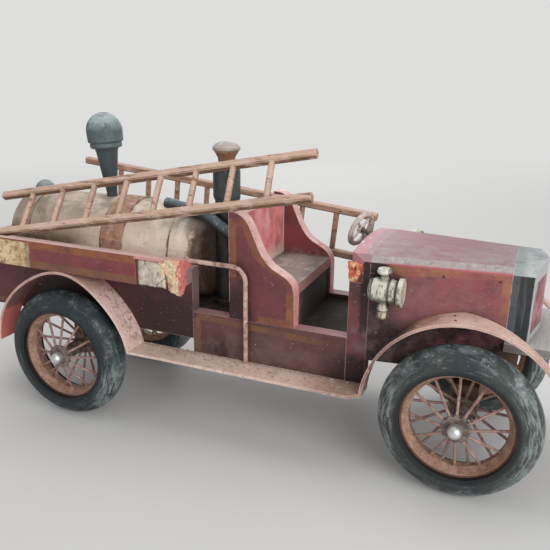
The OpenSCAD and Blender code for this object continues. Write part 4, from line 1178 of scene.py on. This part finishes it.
def nail_heads():
    """Rusty domed heads: three along each side of the hood's top board, two over each
    front fender."""
    radius, flatness = 1.5, 0.45
    # The hood's rear end, half its width there, and how it narrows forwards
    hood_rear, half_width, taper = 366, 70, 18 / 132
    # The fender's top lies this far from the front hub
    crown = 100
    side_out = Vector((taper, 1, 0)).normalized()
    spots = []
    for side in (-1, 1):
        for x, z in ((436, 147.5), (488, 147), (384, 146)):
            y = side * (half_width - taper * (x - hood_rear))
            spots.append(((x, y, z), (side_out.x, side * side_out.y, 0)))
        for degrees, y in ((98.8, 68), (97.6, 81)):
            outward = Vector((math.cos(math.radians(degrees)), 0, math.sin(math.radians(degrees))))
            foot = Vector((FRONT_HUB[0], side * y, FRONT_HUB[1])) + crown * outward
            spots.append((foot, outward))
    shape = bmesh.new()
    for spot, outward in spots:
        turn = Vector((0, 0, 1)).rotation_difference(Vector(outward)).to_matrix().to_4x4()
        lie = Matrix.Translation(Vector(spot) * MM) @ turn
        place = BODY @ lie @ Matrix.Diagonal((1, 1, flatness, 1))
        bmesh.ops.create_uvsphere(
            shape, u_segments=12, v_segments=8, radius=radius * MM, matrix=place)
    piece("nail_heads", shape, dull_metal("rusty_nail_steel", "#6e5546", 0.6), True)


def grit():
    """Crumbs of dust and splinters lying along the running boards."""
    crumbs = random.Random(11)
    count, board_top, foot, reach, rear, front = 340, 22, 70.8, 29, 104, 352
    shape = bmesh.new()
    for number in range(count):
        side = -1 if number % 2 == 0 else 1
        size = crumbs.uniform(0.35, 1.2)
        y = side * (foot + abs(crumbs.gauss(0, 10)) % reach)
        x, z = crumbs.uniform(rear, front), board_top + size * 0.25
        spin = (Matrix.Rotation(crumbs.uniform(0, math.tau), 4, "Z")
                @ Matrix.Rotation(crumbs.uniform(0, 0.5), 4, "X"))
        stretch = Matrix.Diagonal((crumbs.uniform(0.8, 2.4), 1, 0.6, 1))
        place = BODY @ Matrix.Translation(Vector((x, y, z)) * MM) @ spin @ stretch
        bmesh.ops.create_icosphere(shape, subdivisions=1, radius=size * MM, matrix=place)
    dust = Finish("grit_crumbs", "#cbbdae", roughness=0.95)
    dust.coat("#7a6252", 0.8, patches(3, 0.47, 0.57, seed=2, detail=2))
    piece("running_board_grit", shape, dust)


nail_heads()
grit()


# The tone that the camera sees behind the truck
BACKDROP = "#dededd"


def pale_floor():
    """A pale floor that fades into the backdrop well away from the truck, with no horizon."""
    mesh = bpy.data.meshes.new("floor")
    plane = bmesh.new()
    bmesh.ops.create_grid(plane, x_segments=1, y_segments=1, size=8)
    plane.to_mesh(mesh)
    plane.free()
    floor = bpy.data.objects.new("floor", mesh)
    bpy.context.collection.objects.link(floor)
    pale = bpy.data.materials.new("pale_floor")
    begin(pale)
    near = add("ShaderNodeBsdfPrincipled", {"Base Color": linear("#dcdbd9"), "Roughness": 0.95})
    far = add("ShaderNodeEmission", {"Color": linear(BACKDROP)})
    spot = add("ShaderNodeTexCoord").outputs["Object"]
    reach = add("ShaderNodeVectorMath", {0: spot}, operation="LENGTH").outputs["Value"]
    fade = past(reach, 0.7, 2.6)
    mixed = add("ShaderNodeMixShader", {0: fade, 1: near, 2: far})
    add("ShaderNodeOutputMaterial", {"Surface": mixed})
    mesh.materials.append(pale)


def soft_light(name, place, aim, size, power):
    """A square panel of light, aimed at a point."""
    data = bpy.data.lights.new(name, "AREA")
    data.size = size
    data.energy = power
    lamp = bpy.data.objects.new(name, data)
    lamp.location = place
    lamp.rotation_euler = (Vector(aim) - Vector(place)).to_track_quat("-Z", "Y").to_euler()
    bpy.context.collection.objects.link(lamp)


def room():
    """An even pale room for light; the camera sees the backdrop's own tone instead."""
    world = bpy.data.worlds.new("soft_room")
    bpy.context.scene.world = world
    begin(world)
    light = add("ShaderNodeBackground", {"Color": linear("#f1f2f4"), "Strength": 0.55})
    seen = add("ShaderNodeBackground", {"Color": linear(BACKDROP), "Strength": 1})
    looked_at = add("ShaderNodeLightPath").outputs["Is Camera Ray"]
    mixed = add("ShaderNodeMixShader", {0: looked_at, 1: light, 2: seen})
    add("ShaderNodeOutputWorld", {"Surface": mixed})


pale_floor()
soft_light("sky_panel", (-0.3, 0.3, 1.7), (0, 0, 0.15), 1.4, 9.5)
soft_light("front_panel", (1.6, -1.35, 1), (0.05, 0, 0.15), 1.3, 25)
soft_light("window_panel", (-0.75, 2.25, 0.9), (0.1, 0, 0.2), 1, 10)
room()
bpy.context.scene.view_settings.view_transform = "Standard"
